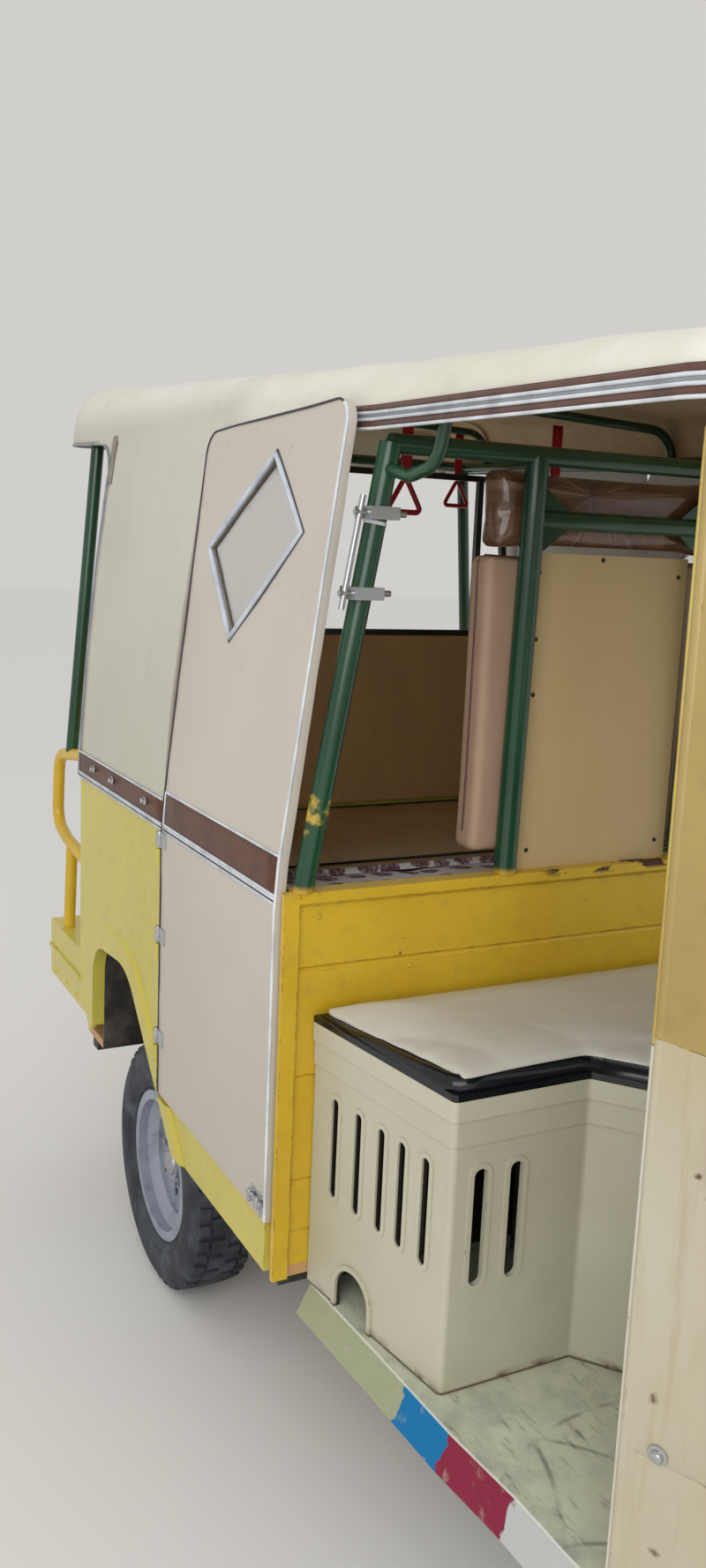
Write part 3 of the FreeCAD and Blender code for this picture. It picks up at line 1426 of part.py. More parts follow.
def build():
    os.makedirs("parts", exist_ok=True)
    keep("chassis_frame", chassis_frame())
    keep("engine_block", engine_block())
    keep("rear_axle", rear_axle())
    keep("leaf_springs", *leaf_springs())
    rear_tyre, rear_rim = rear_wheel()
    keep("rear_tyre_left", rear_tyre)
    keep("rear_rim_left", rear_rim)
    keep("rear_tyre_right", mirrored(rear_tyre))
    keep("rear_rim_right", mirrored(rear_rim))
    front_tyre, front_rim = front_wheel()
    keep("front_tyre", front_tyre)
    keep("front_rim", front_rim)
    keep("steering_fork", steering_fork())
    keep("handlebar", handlebar())
    keep("front_mudguard", front_mudguard())
    keep("cab_floor", cab_floor())
    keep("front_cowl", front_cowl())
    keep("head_lamps", *head_lamps())
    frame, screen = windshield()
    keep("windshield_frame", frame)
    keep("windshield_glass", screen)
    keep("seat_box", seat_box())
    keep("seat_lid", seat_lid())
    keep("driver_cushion", driver_cushion())
    keep("tub_floor", tub_floor())
    keep("tub_front_panel", tub_front_panel())
    keep("corner_channels", *corner_channels())
    side = tub_side()
    keep("tub_side_left", side)
    keep("tub_side_right", mirrored(side))
    keep("wheel_houses", *wheel_houses())
    keep("tub_rear_panel", tub_rear_panel())
    keep("rear_step", rear_step())
    keep("tail_lamps", *tail_lamps())
    keep("grab_rails", *grab_rails())
    keep("partition_frame", partition_frame())
    keep("rear_posts", rear_posts())
    keep("roof_rails", roof_rails())
    keep("roof_canopy", roof_canopy())
    keep("roof_front", roof_front())
    keep("side_curtains", *side_curtains())
    panel, pane = door()
    keep("door_left", panel)
    keep("door_pane_left", pane)
    keep("door_right", mirrored(panel))
    keep("door_pane_right", mirrored(pane))
    keep("bench_boxes", *bench_boxes())
    keep("rear_bench_cushion", bench_cushion(*REAR_BENCH, REAR_BENCH_TOP))
    keep("front_bench_cushion", bench_cushion(*FRONT_PAD, FRONT_BENCH_TOP))
    keep("seat_back_board", upright_block(*BACK_BOARD))
    keep("seat_back_cushion", padded_block(*SEAT_BACK))
    keep("upper_cushion", padded_block(*UPPER_CUSHION))
    keep("rear_lining", rear_lining())
    keep("rear_window_frame", rear_window_frame())
    keep("strap_handles", *strap_handles())
    keep("dome_lamp", dome_lamp())
    keep("post_bracket", post_bracket())


build()
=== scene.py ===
import math

import bmesh
import bpy
from mathutils import Matrix, Vector, bvhtree, noise


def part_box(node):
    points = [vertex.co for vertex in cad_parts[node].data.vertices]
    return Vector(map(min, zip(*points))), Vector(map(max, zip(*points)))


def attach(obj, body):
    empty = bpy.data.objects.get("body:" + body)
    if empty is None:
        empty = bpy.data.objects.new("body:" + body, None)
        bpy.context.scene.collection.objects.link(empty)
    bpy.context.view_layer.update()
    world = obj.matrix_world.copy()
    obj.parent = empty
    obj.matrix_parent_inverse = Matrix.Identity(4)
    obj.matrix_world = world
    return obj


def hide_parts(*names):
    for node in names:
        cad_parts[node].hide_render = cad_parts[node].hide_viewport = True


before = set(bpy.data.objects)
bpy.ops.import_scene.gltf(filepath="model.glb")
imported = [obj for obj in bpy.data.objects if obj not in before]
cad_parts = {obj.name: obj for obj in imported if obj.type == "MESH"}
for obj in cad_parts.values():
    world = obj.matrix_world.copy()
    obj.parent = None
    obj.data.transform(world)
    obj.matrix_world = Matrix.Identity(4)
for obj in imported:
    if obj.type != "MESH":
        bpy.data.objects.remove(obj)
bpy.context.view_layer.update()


# The place to stand: by the right front corner, eye height, tipped down a little and leaning by
# a few degrees. Every place below is in millimetres from the rear axle on the ground, x forward,
# y left and z up, as on a workshop drawing; at() gives it in the scene's metres.

tyre_low, tyre_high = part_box("rear_tyre_right")
REAR_AXLE = (tyre_low.x + tyre_high.x) / 2
EYE = (2584, -1451, 1673)
LOOK = Vector((-0.8733, 0.4522, -0.1809))
LEAN = math.radians(2.45)
FOCUS_MM = 29.3


def at(x, y, z):
    return Vector((REAR_AXLE + x / 1000, y / 1000, z / 1000))


camera = bpy.data.objects.new("camera", bpy.data.cameras.new("camera"))
bpy.context.scene.collection.objects.link(camera)
camera.location = at(*EYE)
camera.rotation_mode = "QUATERNION"
upright = LOOK.to_track_quat("-Z", "Y")
camera.rotation_quaternion = upright @ Matrix.Rotation(LEAN, 3, "Z").to_quaternion()
camera.data.sensor_width = 36
camera.data.lens = FOCUS_MM
camera.data.clip_end = 200
bpy.context.scene.camera = camera


# The studio: a pale floor, a pale backdrop and plain soft light from all round, with one wide
# lamp ahead on the right. The floor and the backdrop look pale to the camera and in gloss only.

SKY = 0.74
FLOOR_HALF = 40
LAMP_PLACE = (4900, -3400, 3500)
LAMP_SIZE = 4.0
LAMP_POWER = 140


def srgb(red, green, blue):
    """A screen colour, 0 to 255, as linear light."""
    return tuple(((value / 255 + 0.055) / 1.055) ** 2.4 for value in (red, green, blue)) + (1.0,)


class Level:
    """A value or colour that varies over a finish. A sum with it adds nodes to that finish."""

    def __init__(self, tree, socket):
        self.tree, self.socket = tree, socket

    def worked(self, operation, first, second=0.0):
        made = self.tree.nodes.new("ShaderNodeMath")
        made.operation = operation
        for socket, value in zip(made.inputs, (first, second)):
            wire(self.tree, value, socket)
        return Level(self.tree, made.outputs[0])

    def __add__(self, other):
        return self.worked("ADD", self, other)

    def __sub__(self, other):
        return self.worked("SUBTRACT", self, other)

    def __rsub__(self, other):
        return self.worked("SUBTRACT", other, self)

    def __mul__(self, other):
        return self.worked("MULTIPLY", self, other)

    def most(self, other):
        return self.worked("MAXIMUM", self, other)

    def size(self):
        return self.worked("ABSOLUTE", self)

    def root(self):
        return self.worked("SQRT", self)

    def between(self, low, high):
        """0 at low and 1 at high, easing both ways."""
        span = self.tree.nodes.new("ShaderNodeMapRange")
        span.interpolation_type = "SMOOTHSTEP"
        for word, value in (("From Min", low), ("From Max", high), ("Value", self)):
            wire(self.tree, value, span.inputs[word])
        return Level(self.tree, span.outputs[0])


def wire(tree, value, socket):
    """Puts a level, a number or a screen colour into a socket."""
    if isinstance(value, Level):
        tree.links.new(value.socket, socket)
    else:
        socket.default_value = srgb(*value) if socket.type == "RGBA" else value


class Finish:
    """A material that is built up in coats on its own tree of nodes."""

    def __init__(self, name, colour, roughness, metallic=0.0):
        self.made = bpy.data.materials.new(name)
        self.made.use_nodes = True
        self.tree = self.made.node_tree
        self.shader = self.tree.nodes["Principled BSDF"]
        for word, value in (("Base Color", colour), ("Roughness", roughness), ("Metallic", metallic)):
            self.drive(word, value)

    def drive(self, word, value):
        wire(self.tree, value, self.shader.inputs[word])

    def node(self, kind, output=0, how=(), **inputs):
        """One output of a new node, with its settings and inputs given."""
        made = self.tree.nodes.new("ShaderNode" + kind)
        for word, value in how:
            setattr(made, word, value)
        for word, value in inputs.items():
            wire(self.tree, value, made.inputs[word])
        return Level(self.tree, made.outputs[output])

    def position(self, stretch=(1, 1, 1)):
        """The place on the rickshaw in metres, stretched so that a pattern lies along it."""
        return self.node("Mapping", Scale=stretch, Vector=self.node("TexCoord", "Object"))

    def along(self, axis):
        """The place along one axis, in metres."""
        return self.node("SeparateXYZ", axis, Vector=self.node("TexCoord", "Object"))

    def mottle(self, scale, low, high, stretch=(1, 1, 1), detail=5):
        """Cloudy patches: 0 below low, 1 above high."""
        cloud = self.node("TexNoise", Scale=scale, Detail=detail, Roughness=0.6,
                          Vector=self.position(stretch))
        return cloud.between(low, high)

    def grain(self, scale, strength, distance, detail=5):
        self.relief(self.mottle(scale, 0.3, 0.7, detail=detail), strength, distance)

    def facing_up(self):
        """1 on level tops, 0 on upright faces."""
        return self.node("SeparateXYZ", "Z", Vector=self.node("NewGeometry", "Normal")).between(0.3, 0.95)

    def coat(self, share, under, over):
        """One colour over another where share says."""
        return self.node("Mix", "Result", [("data_type", "RGBA")], Factor=share, A=under, B=over)

    def colour(self, coats):
        self.drive("Base Color", coats)

    def relief(self, height, strength, distance):
        """Raises the surface by a height map, on top of any relief before."""
        before = self.shader.inputs["Normal"].links
        under = {"Normal": Level(self.tree, before[0].from_socket)} if before else {}
        self.drive("Normal", self.node("Bump", Strength=strength, Distance=distance, Height=height, **under))


bpy.context.scene.view_settings.view_transform = "Standard"
world = bpy.data.worlds.new("studio")
bpy.context.scene.world = world
world.use_nodes = True
sky_tree = world.node_tree
sky_tree.nodes["Background"].inputs["Color"].default_value = (1, 1, 1, 1)
sky_tree.nodes["Background"].inputs["Strength"].default_value = SKY
backdrop = sky_tree.nodes.new("ShaderNodeBackground")
backdrop.inputs["Color"].default_value = srgb(209, 207, 204)
path = sky_tree.nodes.new("ShaderNodeLightPath").outputs
seen_directly = Level(sky_tree, path["Is Camera Ray"])
for ray in ("Is Glossy Ray", "Is Transmission Ray"):
    seen_directly = seen_directly.most(Level(sky_tree, path[ray]))
either = sky_tree.nodes.new("ShaderNodeMixShader")
background = sky_tree.nodes["Background"].outputs[0]
for source, socket in zip((seen_directly.socket, background, backdrop.outputs[0]), either.inputs):
    sky_tree.links.new(source, socket)
sky_tree.links.new(either.outputs[0], sky_tree.nodes["World Output"].inputs["Surface"])

shape = bmesh.new()
bmesh.ops.create_grid(shape, x_segments=1, y_segments=1, size=FLOOR_HALF)
floor = bpy.data.objects.new("studio_floor", bpy.data.meshes.new("studio_floor"))
shape.to_mesh(floor.data)
shape.free()
bpy.context.scene.collection.objects.link(floor)
floor_paint = Finish("studio_floor", (234, 232, 228), 0.9)
floor_paint.drive("Specular IOR Level", 0.1)
floor.data.materials.append(floor_paint.made)

lamp = bpy.data.objects.new("soft_lamp", bpy.data.lights.new("soft_lamp", "AREA"))
lamp.data.size = LAMP_SIZE
lamp.data.energy = LAMP_POWER
lamp.location = at(*LAMP_PLACE)
lamp.rotation_mode = "QUATERNION"
lamp.rotation_quaternion = (at(400, 0, 900) - lamp.location).to_track_quat("-Z", "Y")
bpy.context.scene.collection.objects.link(lamp)


# Chassis, rear axle, leaf springs and engine: black-painted steel channel and cast iron, never
# washed, with grey road dust on what faces up. Welded and bolted underneath.

DUST = (112, 104, 92)


def dusty_steel(name, paint, roughness, dust_share):
    finish = Finish(name, paint, roughness)
    patches = finish.mottle(9, 0.35, 0.75)
    settled = (patches * dust_share).most(finish.facing_up() * 0.7)
    scabs = finish.mottle(46, 0.58, 0.68)
    painted = finish.coat(scabs, paint, (74, 48, 34))
    finish.colour(finish.coat(settled, painted, DUST))
    finish.relief(scabs, 0.4, 0.001)
    finish.grain(160, 0.25, 0.0006)
    return finish.made


def dress(finish, *nodes):
    """Gives CAD nodes their finish."""
    for name in nodes:
        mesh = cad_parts[name].data
        mesh.materials.clear()
        mesh.materials.append(finish)


chassis_paint = dusty_steel("chassis_paint", (38, 37, 36), 0.6, 0.6)
cast_iron = dusty_steel("cast_iron", (62, 58, 54), 0.5, 0.35)
dress(chassis_paint, "chassis_frame", "rear_axle", "leaf_springs", "wheel_houses")
dress(cast_iron, "engine_block")


# Tyres: black road rubber gone grey-blue with dust, with three grooves round the tread, rows of
# shoulder and middle blocks, and bead rings on the sidewall. Each sits on its rim's two seats.

WHEEL_R = 0.276
TREAD_DEPTH = 0.007
TREAD_PITCHES = 66
# radius and half width along one side of the tyre, from the bead to the tread's middle
SIDE_PROFILE = [(0.1545, 0), (0.174, 0), (0.176, 0.004), (0.186, 0.010), (0.188, 0.0125), (0.192, 0.0125),
                (0.194, 0.0150), (0.206, 0.0178), (0.220, 0.0190), (0.236, 0.0180), (0.250, 0.0140),
                (0.259, 0.0085)]
# share of the tread's half width where each rib ends, from the shoulder inwards
RIBS = [1.0, 0.62, 0.54, 0.10, 0.0]


def object_from(shape, name, finish, smooth=True):
    """Turns a bmesh into an object that carries one finish."""
    mesh = bpy.data.meshes.new(name)
    for face in shape.faces:
        face.smooth = smooth
    shape.to_mesh(mesh)
    shape.free()
    if smooth:
        mesh.set_sharp_from_angle(angle=math.radians(38))
    made = bpy.data.objects.new(name, mesh)
    bpy.context.scene.collection.objects.link(made)
    mesh.materials.append(finish)
    return made


def outward(shape):
    bmesh.ops.remove_doubles(shape, verts=shape.verts, dist=1e-5)
    bmesh.ops.recalc_face_normals(shape, faces=shape.faces)


def road_tyre(name, node, body, finish):
    low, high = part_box(node)
    centre = (low + high) / 2
    half = (high.y - low.y) / 2
    bead = half - 0.0190
    floor_r = WHEEL_R - TREAD_DEPTH
    tread_half = half - 0.016
    side = [(radius, bead + out) for radius, out in SIDE_PROFILE]
    crown = [(floor_r - 0.004 * share ** 2, tread_half * share) for share in RIBS]
    right = side + crown
    profile = right + [(radius, -y) for radius, y in reversed(right[:-1])]
    shape = bmesh.new()
    ring = [shape.verts.new((0, y, radius)) for radius, y in profile]
    edges = [shape.edges.new(pair) for pair in zip(ring, ring[1:])]
    edges.append(shape.edges.new((ring[-1], ring[0])))
    bmesh.ops.spin(shape, geom=ring + edges, axis=(0, 1, 0), cent=(0, 0, 0), steps=TREAD_PITCHES * 2,
                   angle=math.tau, use_merge=True)
    outward(shape)
    blocks = []
    for face in shape.faces:
        middle = face.calc_center_median()
        radius = math.hypot(middle.x, middle.z)
        if radius < floor_r - 0.006:
            continue
        share = abs(middle.y) / tread_half
        turn = int(round((math.atan2(middle.x, middle.z) / math.tau) * TREAD_PITCHES * 2 - 0.5))
        if 0.64 < share < 1.0 and turn % 3 != 0:
            blocks.append(face)
        elif 0.12 < share < 0.52 and (turn + (2 if middle.y > 0 else 0)) % 4 != 0:
            blocks.append(face)
        elif share < 0.09:
            blocks.append(face)
    bmesh.ops.inset_region(shape, faces=blocks, thickness=0.0012, depth=TREAD_DEPTH,
                           use_even_offset=True, use_boundary=True)
    bmesh.ops.translate(shape, verts=shape.verts, vec=centre)
    made = object_from(shape, name, finish)
    made.data.polygons.foreach_set("use_smooth", [False] * len(made.data.polygons))
    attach(made, body)
    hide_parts(node)
    return made


def rubber(name):
    finish = Finish(name, (46, 49, 55), 0.72)
    dust = finish.mottle(14, 0.35, 0.8) * 0.75
    finish.colour(finish.coat(dust, (40, 43, 49), (92, 98, 108)))
    finish.grain(220, 0.2, 0.0004)
    return finish.made


tyre_rubber = rubber("tyre_rubber")
SIDES = ((-1, "right"), (1, "left"))
for _, word in SIDES:
    road_tyre("tyre_" + word, "rear_tyre_" + word, "rear_wheel_" + word, tyre_rubber)
road_tyre("tyre_front", "front_tyre", "front_wheel", tyre_rubber)


# Rims: pressed steel discs in silver paint, with brake dust in the well and round the holes.
# Four nuts on studs hold each rear rim to its hub, and a dust cap closes the middle.

NUT_PITCH = 50
NUTS = 4
DISC_FACE = 526.5
HUB_END = 540.5
VALVE = (108, 520)
WHEEL_MIDDLE = WHEEL_R * 1000


def silver_rim(name):
    finish = Finish(name, (176, 177, 182), 0.42, 0.35)
    grime = finish.mottle(22, 0.45, 0.8) * 0.55
    finish.colour(finish.coat(grime, (158, 164, 178), (96, 94, 94)))
    finish.grain(120, 0.12, 0.0005)
    return finish.made


def grained(name, colour, roughness, metallic, scale, strength, distance=0.0004):
    """One colour all over, with a fine grain."""
    finish = Finish(name, colour, roughness, metallic)
    finish.grain(scale, strength, distance)
    return finish.made


def turned_rod(shape, start, end, radius, tip=None, sides=20):
    """A straight rod, or a taper where tip is given, between two places."""
    along = end - start
    made = bmesh.ops.create_cone(shape, cap_ends=True, cap_tris=False, segments=sides, radius1=radius / 1000,
                                 radius2=(radius if tip is None else tip) / 1000, depth=along.length)
    turn = along.to_track_quat("Z", "Y").to_matrix()
    bmesh.ops.rotate(shape, verts=made["verts"], cent=(0, 0, 0), matrix=turn)
    bmesh.ops.translate(shape, verts=made["verts"], vec=(start + end) / 2)
    return made["verts"]


def soften(shape, verts, width, segments=2):
    """Rounds the edges between some vertices by a width in millimetres."""
    inside = set(verts)
    edges = [edge for edge in shape.edges if edge.verts[0] in inside and edge.verts[1] in inside
             and edge.is_manifold and edge.calc_face_angle() > 0.6]
    bmesh.ops.bevel(shape, geom=edges, offset=width / 1000, affect="EDGES", segments=segments, profile=0.5,
                    material=-1)


def attached(piece, body, slot, *nodes):
    """Hangs a piece on the body that carries it and hides the CAD nodes that it stands for. slot is not used.
    """
    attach(piece, body)
    if nodes:
        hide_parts(*nodes)
    return piece


def finished(shape, name, finish, body, slot, *nodes, smooth=True):
    """Turns a closed shape's faces outwards and makes it a piece."""
    bmesh.ops.recalc_face_normals(shape, faces=shape.faces)
    return attached(object_from(shape, name, finish, smooth), body, slot, *nodes)


def wheel_metal(name, side, body):
    """Nuts with washers on studs, the hub's dust cap and the valve of a rear wheel."""
    shape = bmesh.new()
    for index in range(NUTS):
        turn = math.tau * (index + 0.5) / NUTS
        x, z = NUT_PITCH * math.cos(turn), WHEEL_MIDDLE + NUT_PITCH * math.sin(turn)
        for low, high, radius, sides in ((0, 2.5, 11, 24), (2.5, 11, 9.5, 6), (11, 19, 4.5, 16)):
            rod = turned_rod(shape, at(x, side * (DISC_FACE + low), z), at(x, side * (DISC_FACE + high), z),
                             radius, sides=sides)
            soften(shape, rod, 0.8, 1)
    cap = turned_rod(shape, *(at(0, side * (HUB_END + end), WHEEL_MIDDLE) for end in (-1, 7)), 30, 25, 40)
    soften(shape, cap, 3, 3)
    x, y = VALVE
    for low, high, wide in ((-14, 10, 3.5), (10, 20, 4.5)):
        ends = [at(x, side * (y + end), WHEEL_MIDDLE + 40) for end in (low, high)]
        turned_rod(shape, *ends, wide, sides=12)
    finished(shape, name, wheel_nut_steel, body, "bright_steel", smooth=False)


rim_paint = silver_rim("rim_paint")
dress(rim_paint, "rear_rim_right", "rear_rim_left", "front_rim")
wheel_nut_steel = grained("wheel_nut_steel", (176, 178, 180), 0.28, 0.9, 240, 0.2)
for side, word in SIDES:
    wheel_metal("wheel_nuts_" + word, side, "rear_wheel_" + word)


# Cab floor and sills: one steel pressing in cream-green paint, trodden to a dirty grey, with the
# outer lip turned down. Strips of coloured tape run along the lip: yellow, blue, red, then white.

def worn_edges(finish, reach):
    """1 on sharp edges, 0 on flat faces."""
    rounded = finish.node("Bevel", how=[("samples", 4)], Radius=reach)
    flat = finish.node("NewGeometry", "Normal")
    turn = finish.tree.nodes.new("ShaderNodeVectorMath")
    turn.operation = "DOT_PRODUCT"
    for socket, way in zip(turn.inputs, (rounded, flat)):
        wire(finish.tree, way, socket)
    return (1.0 - Level(finish.tree, turn.outputs["Value"])).between(0.01, 0.12)


def chips(finish, scale, share, edge_share):
    """Flaked paint: small patches anywhere and more along edges."""
    flakes = finish.node("TexNoise", Scale=scale, Detail=8, Roughness=0.7, Vector=finish.position())
    return (flakes + worn_edges(finish, 0.003) * edge_share).between(1 - share, 1 - share + 0.03)


def enamel(name, paint, shade, roughness, share=0.34, knocked=None):
    """Brushed or sprayed enamel: uneven tone, dents, grime and flakes down to rust."""
    finish = Finish(name, paint, roughness)
    tone = finish.coat(finish.mottle(2.4, 0.3, 0.7), paint, shade)
    grime = finish.mottle(30, 0.5, 0.85) * 0.3
    toned = finish.coat(grime, tone, (120, 104, 74))
    flaked = chips(finish, 34, share, 0.16)
    if knocked:
        flaked = flaked.most(knocked(finish))
    rust = finish.coat(finish.mottle(90, 0.35, 0.65), (86, 52, 34), (58, 40, 32))
    finish.colour(finish.coat(flaked, toned, rust))
    finish.drive("Roughness", flaked * 0.4 + roughness)
    finish.relief(1.0 - flaked, 0.3, 0.0008)
    finish.relief(finish.mottle(5, 0.2, 0.8, detail=2), 0.35, 0.006)
    return finish.made


# where each tape ends along the sill, from the rear axle in metres, and its colour
TAPES = [(1.075, (158, 162, 130)), (1.200, (4, 112, 168)), (1.350, (134, 34, 60)), (3.000, (186, 188, 184))]
# arcs scraped by boots and crates into the floor's paint: middle and radius
SCRAPES = [(1.52, -0.62, 0.33), (1.60, -0.30, 0.36), (1.18, -0.86, 0.44), (1.66, -0.55, 0.22)]


def cab_pressing(name):
    finish = Finish(name, (172, 176, 152), 0.55)
    trodden = finish.mottle(11, 0.4, 0.75) * 0.7
    metal = finish.coat(trodden, (204, 207, 182), (148, 153, 144))
    streaks = finish.mottle(16, 0.55, 0.8, (1, 4, 1)) * 0.8
    metal = finish.coat(streaks, metal, (74, 76, 76))
    along = finish.along("X") - REAR_AXLE
    ragged = along + finish.mottle(26, 0.3, 0.7) * 0.02
    tape = TAPES[0][1]
    for (start, _), (_, colour) in zip(TAPES, TAPES[1:]):
        tape = finish.coat(ragged.between(start + 0.008, start + 0.012), tape, colour)
    scuffed = finish.mottle(38, 0.56, 0.74) * 0.4
    tape = finish.coat(scuffed, tape, (182, 178, 160))
    side = finish.along("Y").size()
    beside = side.between(0.52, 0.575) * finish.mottle(19, 0.35, 0.6)
    metal = finish.coat(beside * 0.6, metal, (122, 130, 134))
    for x, y, radius in SCRAPES:
        across = along - x
        out = finish.along("Y") - y
        off = ((across * across + out * out).root() - radius).size()
        line = off.between(0.006, 0.001) * (finish.mottle(13, 0.42, 0.64) * 0.5)
        metal = finish.coat(line, metal, (58, 60, 62))
    below = finish.along("Z").between(0.4165, 0.415)
    lip = finish.along("Z").between(0.4132, 0.4138) * 0.8
    tape = finish.coat(lip, tape, (214, 214, 206))
    finish.colour(finish.coat(below, metal, tape))
    finish.drive("Specular IOR Level", 0.25)
    finish.relief(finish.mottle(40, 0.3, 0.8), 0.3, 0.002)
    finish.relief(finish.mottle(6, 0.3, 0.8, detail=2), 0.4, 0.006)
    return finish.made


dress(cab_pressing("cab_pressing"), "cab_floor")


# Steering: a black fork with two legs, and the bar bent back from it to two ribbed rubber grips.
# The fork is welded tube, brushed black, and the yellow mudguard turns with it.

GRIP_LENGTH = 118
GRIP_RIBS = 16
GRIP_R = 15.5


def steering_paint(name):
    finish = Finish(name, (26, 26, 27), 0.35)
    dust = finish.facing_up() * 0.45
    scuffed = finish.coat(chips(finish, 40, 0.3, 0.16), (26, 26, 27), (112, 108, 102))
    finish.colour(finish.coat(dust, scuffed, DUST))
    return finish.made


def grip(name, side):
    """A rubber grip over the bar's end: turned ribs with a flange at its inner end."""
    low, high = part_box("handlebar")
    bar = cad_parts["handlebar"].data
    tips = [vert.co for vert in bar.vertices if vert.co.y * side > (high.y if side > 0 else -low.y) - 0.002]
    tip = sum(tips, Vector()) / len(tips)
    inner_side = [vert.co for vert in bar.vertices
                  if 0.095 < (tip - vert.co).length < 0.150 and vert.co.y * side > 0.1]
    inner = sum(inner_side, Vector()) / len(inner_side)
    along = (inner - tip).normalized()
    shape = bmesh.new()
    profile = [(0.0, 0.004), (-0.004, 0.004), (-0.004, GRIP_R / 1000)]
    for rib in range(GRIP_RIBS):
        start = GRIP_LENGTH / 1000 * rib / GRIP_RIBS
        step = GRIP_LENGTH / 1000 / GRIP_RIBS
        profile += [(start + step * 0.1, GRIP_R / 1000), (start + step * 0.5, GRIP_R / 1000),
                    (start + step * 0.6, GRIP_R / 1000 - 0.0015), (start + step, GRIP_R / 1000 - 0.0015)]
    end = GRIP_LENGTH / 1000
    profile += [(end, 0.022), (end + 0.004, 0.022), (end + 0.004, 0.0125)]
    ring = [shape.verts.new((radius, 0, s)) for s, radius in profile]
    edges = [shape.edges.new(pair) for pair in zip(ring, ring[1:])]
    bmesh.ops.spin(shape, geom=ring + edges, axis=(0, 0, 1), cent=(0, 0, 0), steps=24, angle=math.tau,
                   use_merge=True)
    bmesh.ops.rotate(shape, verts=shape.verts, cent=(0, 0, 0),
                     matrix=along.to_track_quat("Z", "Y").to_matrix())
    bmesh.ops.translate(shape, verts=shape.verts, vec=tip)
    bmesh.ops.holes_fill(shape, edges=[edge for edge in shape.edges if edge.is_boundary], sides=0)
    outward(shape)
    return attached(object_from(shape, name, grip_rubber), "steering", "tyre")


black_paint = steering_paint("black_paint")
dress(black_paint, "steering_fork", "handlebar")
grip_rubber = grained("grip_rubber", (34, 34, 35), 0.65, 0.0, 300, 0.2)
for side, word in SIDES:
    grip("grip_" + word, side)


# Front cowl: the cab's nose, pressed steel in cream paint gone tan, chipped down to rust, and
# yellow above the belt like the windshield frame. Its rear edge is rolled over a wire, and each
# side has a round bolt and a plain red reflector.

COWL_YELLOW = 1.190
# the rolled rear edge: where along the side it is looked for, its radius, and how far it is sunk
EDGE_SEARCH = (1380, 1560)
EDGE_R = 5.5
EDGE_SUNK = 2.5
# darker marks on the cowl's side: x, z and reach in metres from the rear axle
COWL_MARKS = [(1.606, 1.008, 0.002), (1.620, 0.985, 0.001), (1.580, 1.169, 0.010), (1.578, 0.718, 0.006),
              (1.590, 0.520, 0.003)]


def near(finish, x, z, reach, ragged=0.008):
    """1 within reach of a place seen from the side, with a torn edge."""
    across = finish.along("X") - (REAR_AXLE + x)
    height = finish.along("Z") - z
    distance = (across * across + height * height).root()
    return (distance + finish.mottle(60, 0.3, 0.7) * ragged).between(reach + ragged, reach)


def streaked_cream(name):
    finish = Finish(name, (204, 196, 172), 0.42)
    tone = finish.coat(finish.mottle(1.8, 0.35, 0.7), (189, 184, 163), (183, 171, 143))
    runs = finish.mottle(9, 0.52, 0.82, (5, 5, 0.5)) * 0.5
    tone = finish.coat(runs, tone, (168, 138, 96))
    tan = finish.along("Z").between(1.02, 1.16) * 0.35
    tone = finish.coat(tan, tone, (186, 164, 116))
    yellow = finish.along("Z").between(COWL_YELLOW - 0.002, COWL_YELLOW + 0.002)
    tone = finish.coat(yellow, tone, (173, 152, 92))
    flaked = chips(finish, 60, 0.3, 0.14)
    for x, z, reach in COWL_MARKS:
        flaked = flaked.most(near(finish, x, z, reach))
    finish.colour(finish.coat(flaked, tone, (88, 58, 40)))
    finish.relief(1.0 - flaked, 0.3, 0.0008)
    finish.relief(finish.mottle(4, 0.2, 0.8, detail=2), 0.4, 0.008)
    return finish.made


def plate(shape, low, high, width=0.0, segments=2):
    """A block between two corners, its edges rounded by a width in millimetres."""
    made = bmesh.ops.create_cube(shape, size=1)
    size = high - low
    bmesh.ops.scale(shape, verts=made["verts"], vec=[abs(length) for length in size])
    bmesh.ops.translate(shape, verts=made["verts"], vec=(low + high) / 2)
    if width:
        soften(shape, made["verts"], width, segments)
    return made["verts"]


def from_outside(node, x, z, side):
    """Where a line from the side at x and z meets a node, and which way that face looks."""
    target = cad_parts[node]
    start = at(x, side * 900, z)
    hit, place, normal, _ = target.ray_cast(start, Vector((0, -side, 0)))
    return (place, normal) if hit else (at(x, side * 560, z), Vector((0, side, 0)))


def cowl_trim(side, word):
    """The round bolt with its washer, and the reflector on its plate."""
    shape = bmesh.new()
    place, normal = from_outside("front_cowl", 1587, 651, side)
    soften(shape, turned_rod(shape, place - normal * 0.001, place + normal * 0.003, 13, sides=28), 1, 2)
    soften(shape, turned_rod(shape, place + normal * 0.002, place + normal * 0.009, 9, 7, 24), 2, 3)
    finished(shape, "cowl_bolt_" + word, trim_steel, "root", "bright_steel")
    shape = bmesh.new()
    place, normal = from_outside("front_cowl", 1634, 1040, side)
    plate(shape, Vector((-0.016, -0.034, -0.001)), Vector((0.016, 0.034, 0.006)), 2.5, 3)
    bmesh.ops.rotate(shape, verts=shape.verts, cent=(0, 0, 0),
                     matrix=normal.to_track_quat("Z", "Y").to_matrix())
    bmesh.ops.translate(shape, verts=shape.verts, vec=place)
    finished(shape, "reflector_" + word, red_lens, "root", "red_lens")


def flange_chips(finish):
    """Rusty chips along the tub's front top flange, where the driver climbs in."""
    high = finish.along("Z").between(1.106, 1.114)
    inwards = finish.along("Y").between(-0.16, -0.08)
    ahead = finish.along("X").between(REAR_AXLE + 0.7, REAR_AXLE + 0.71)
    return high * inwards * ahead * finish.mottle(30, 0.52, 0.57, (1, 0.5, 1))


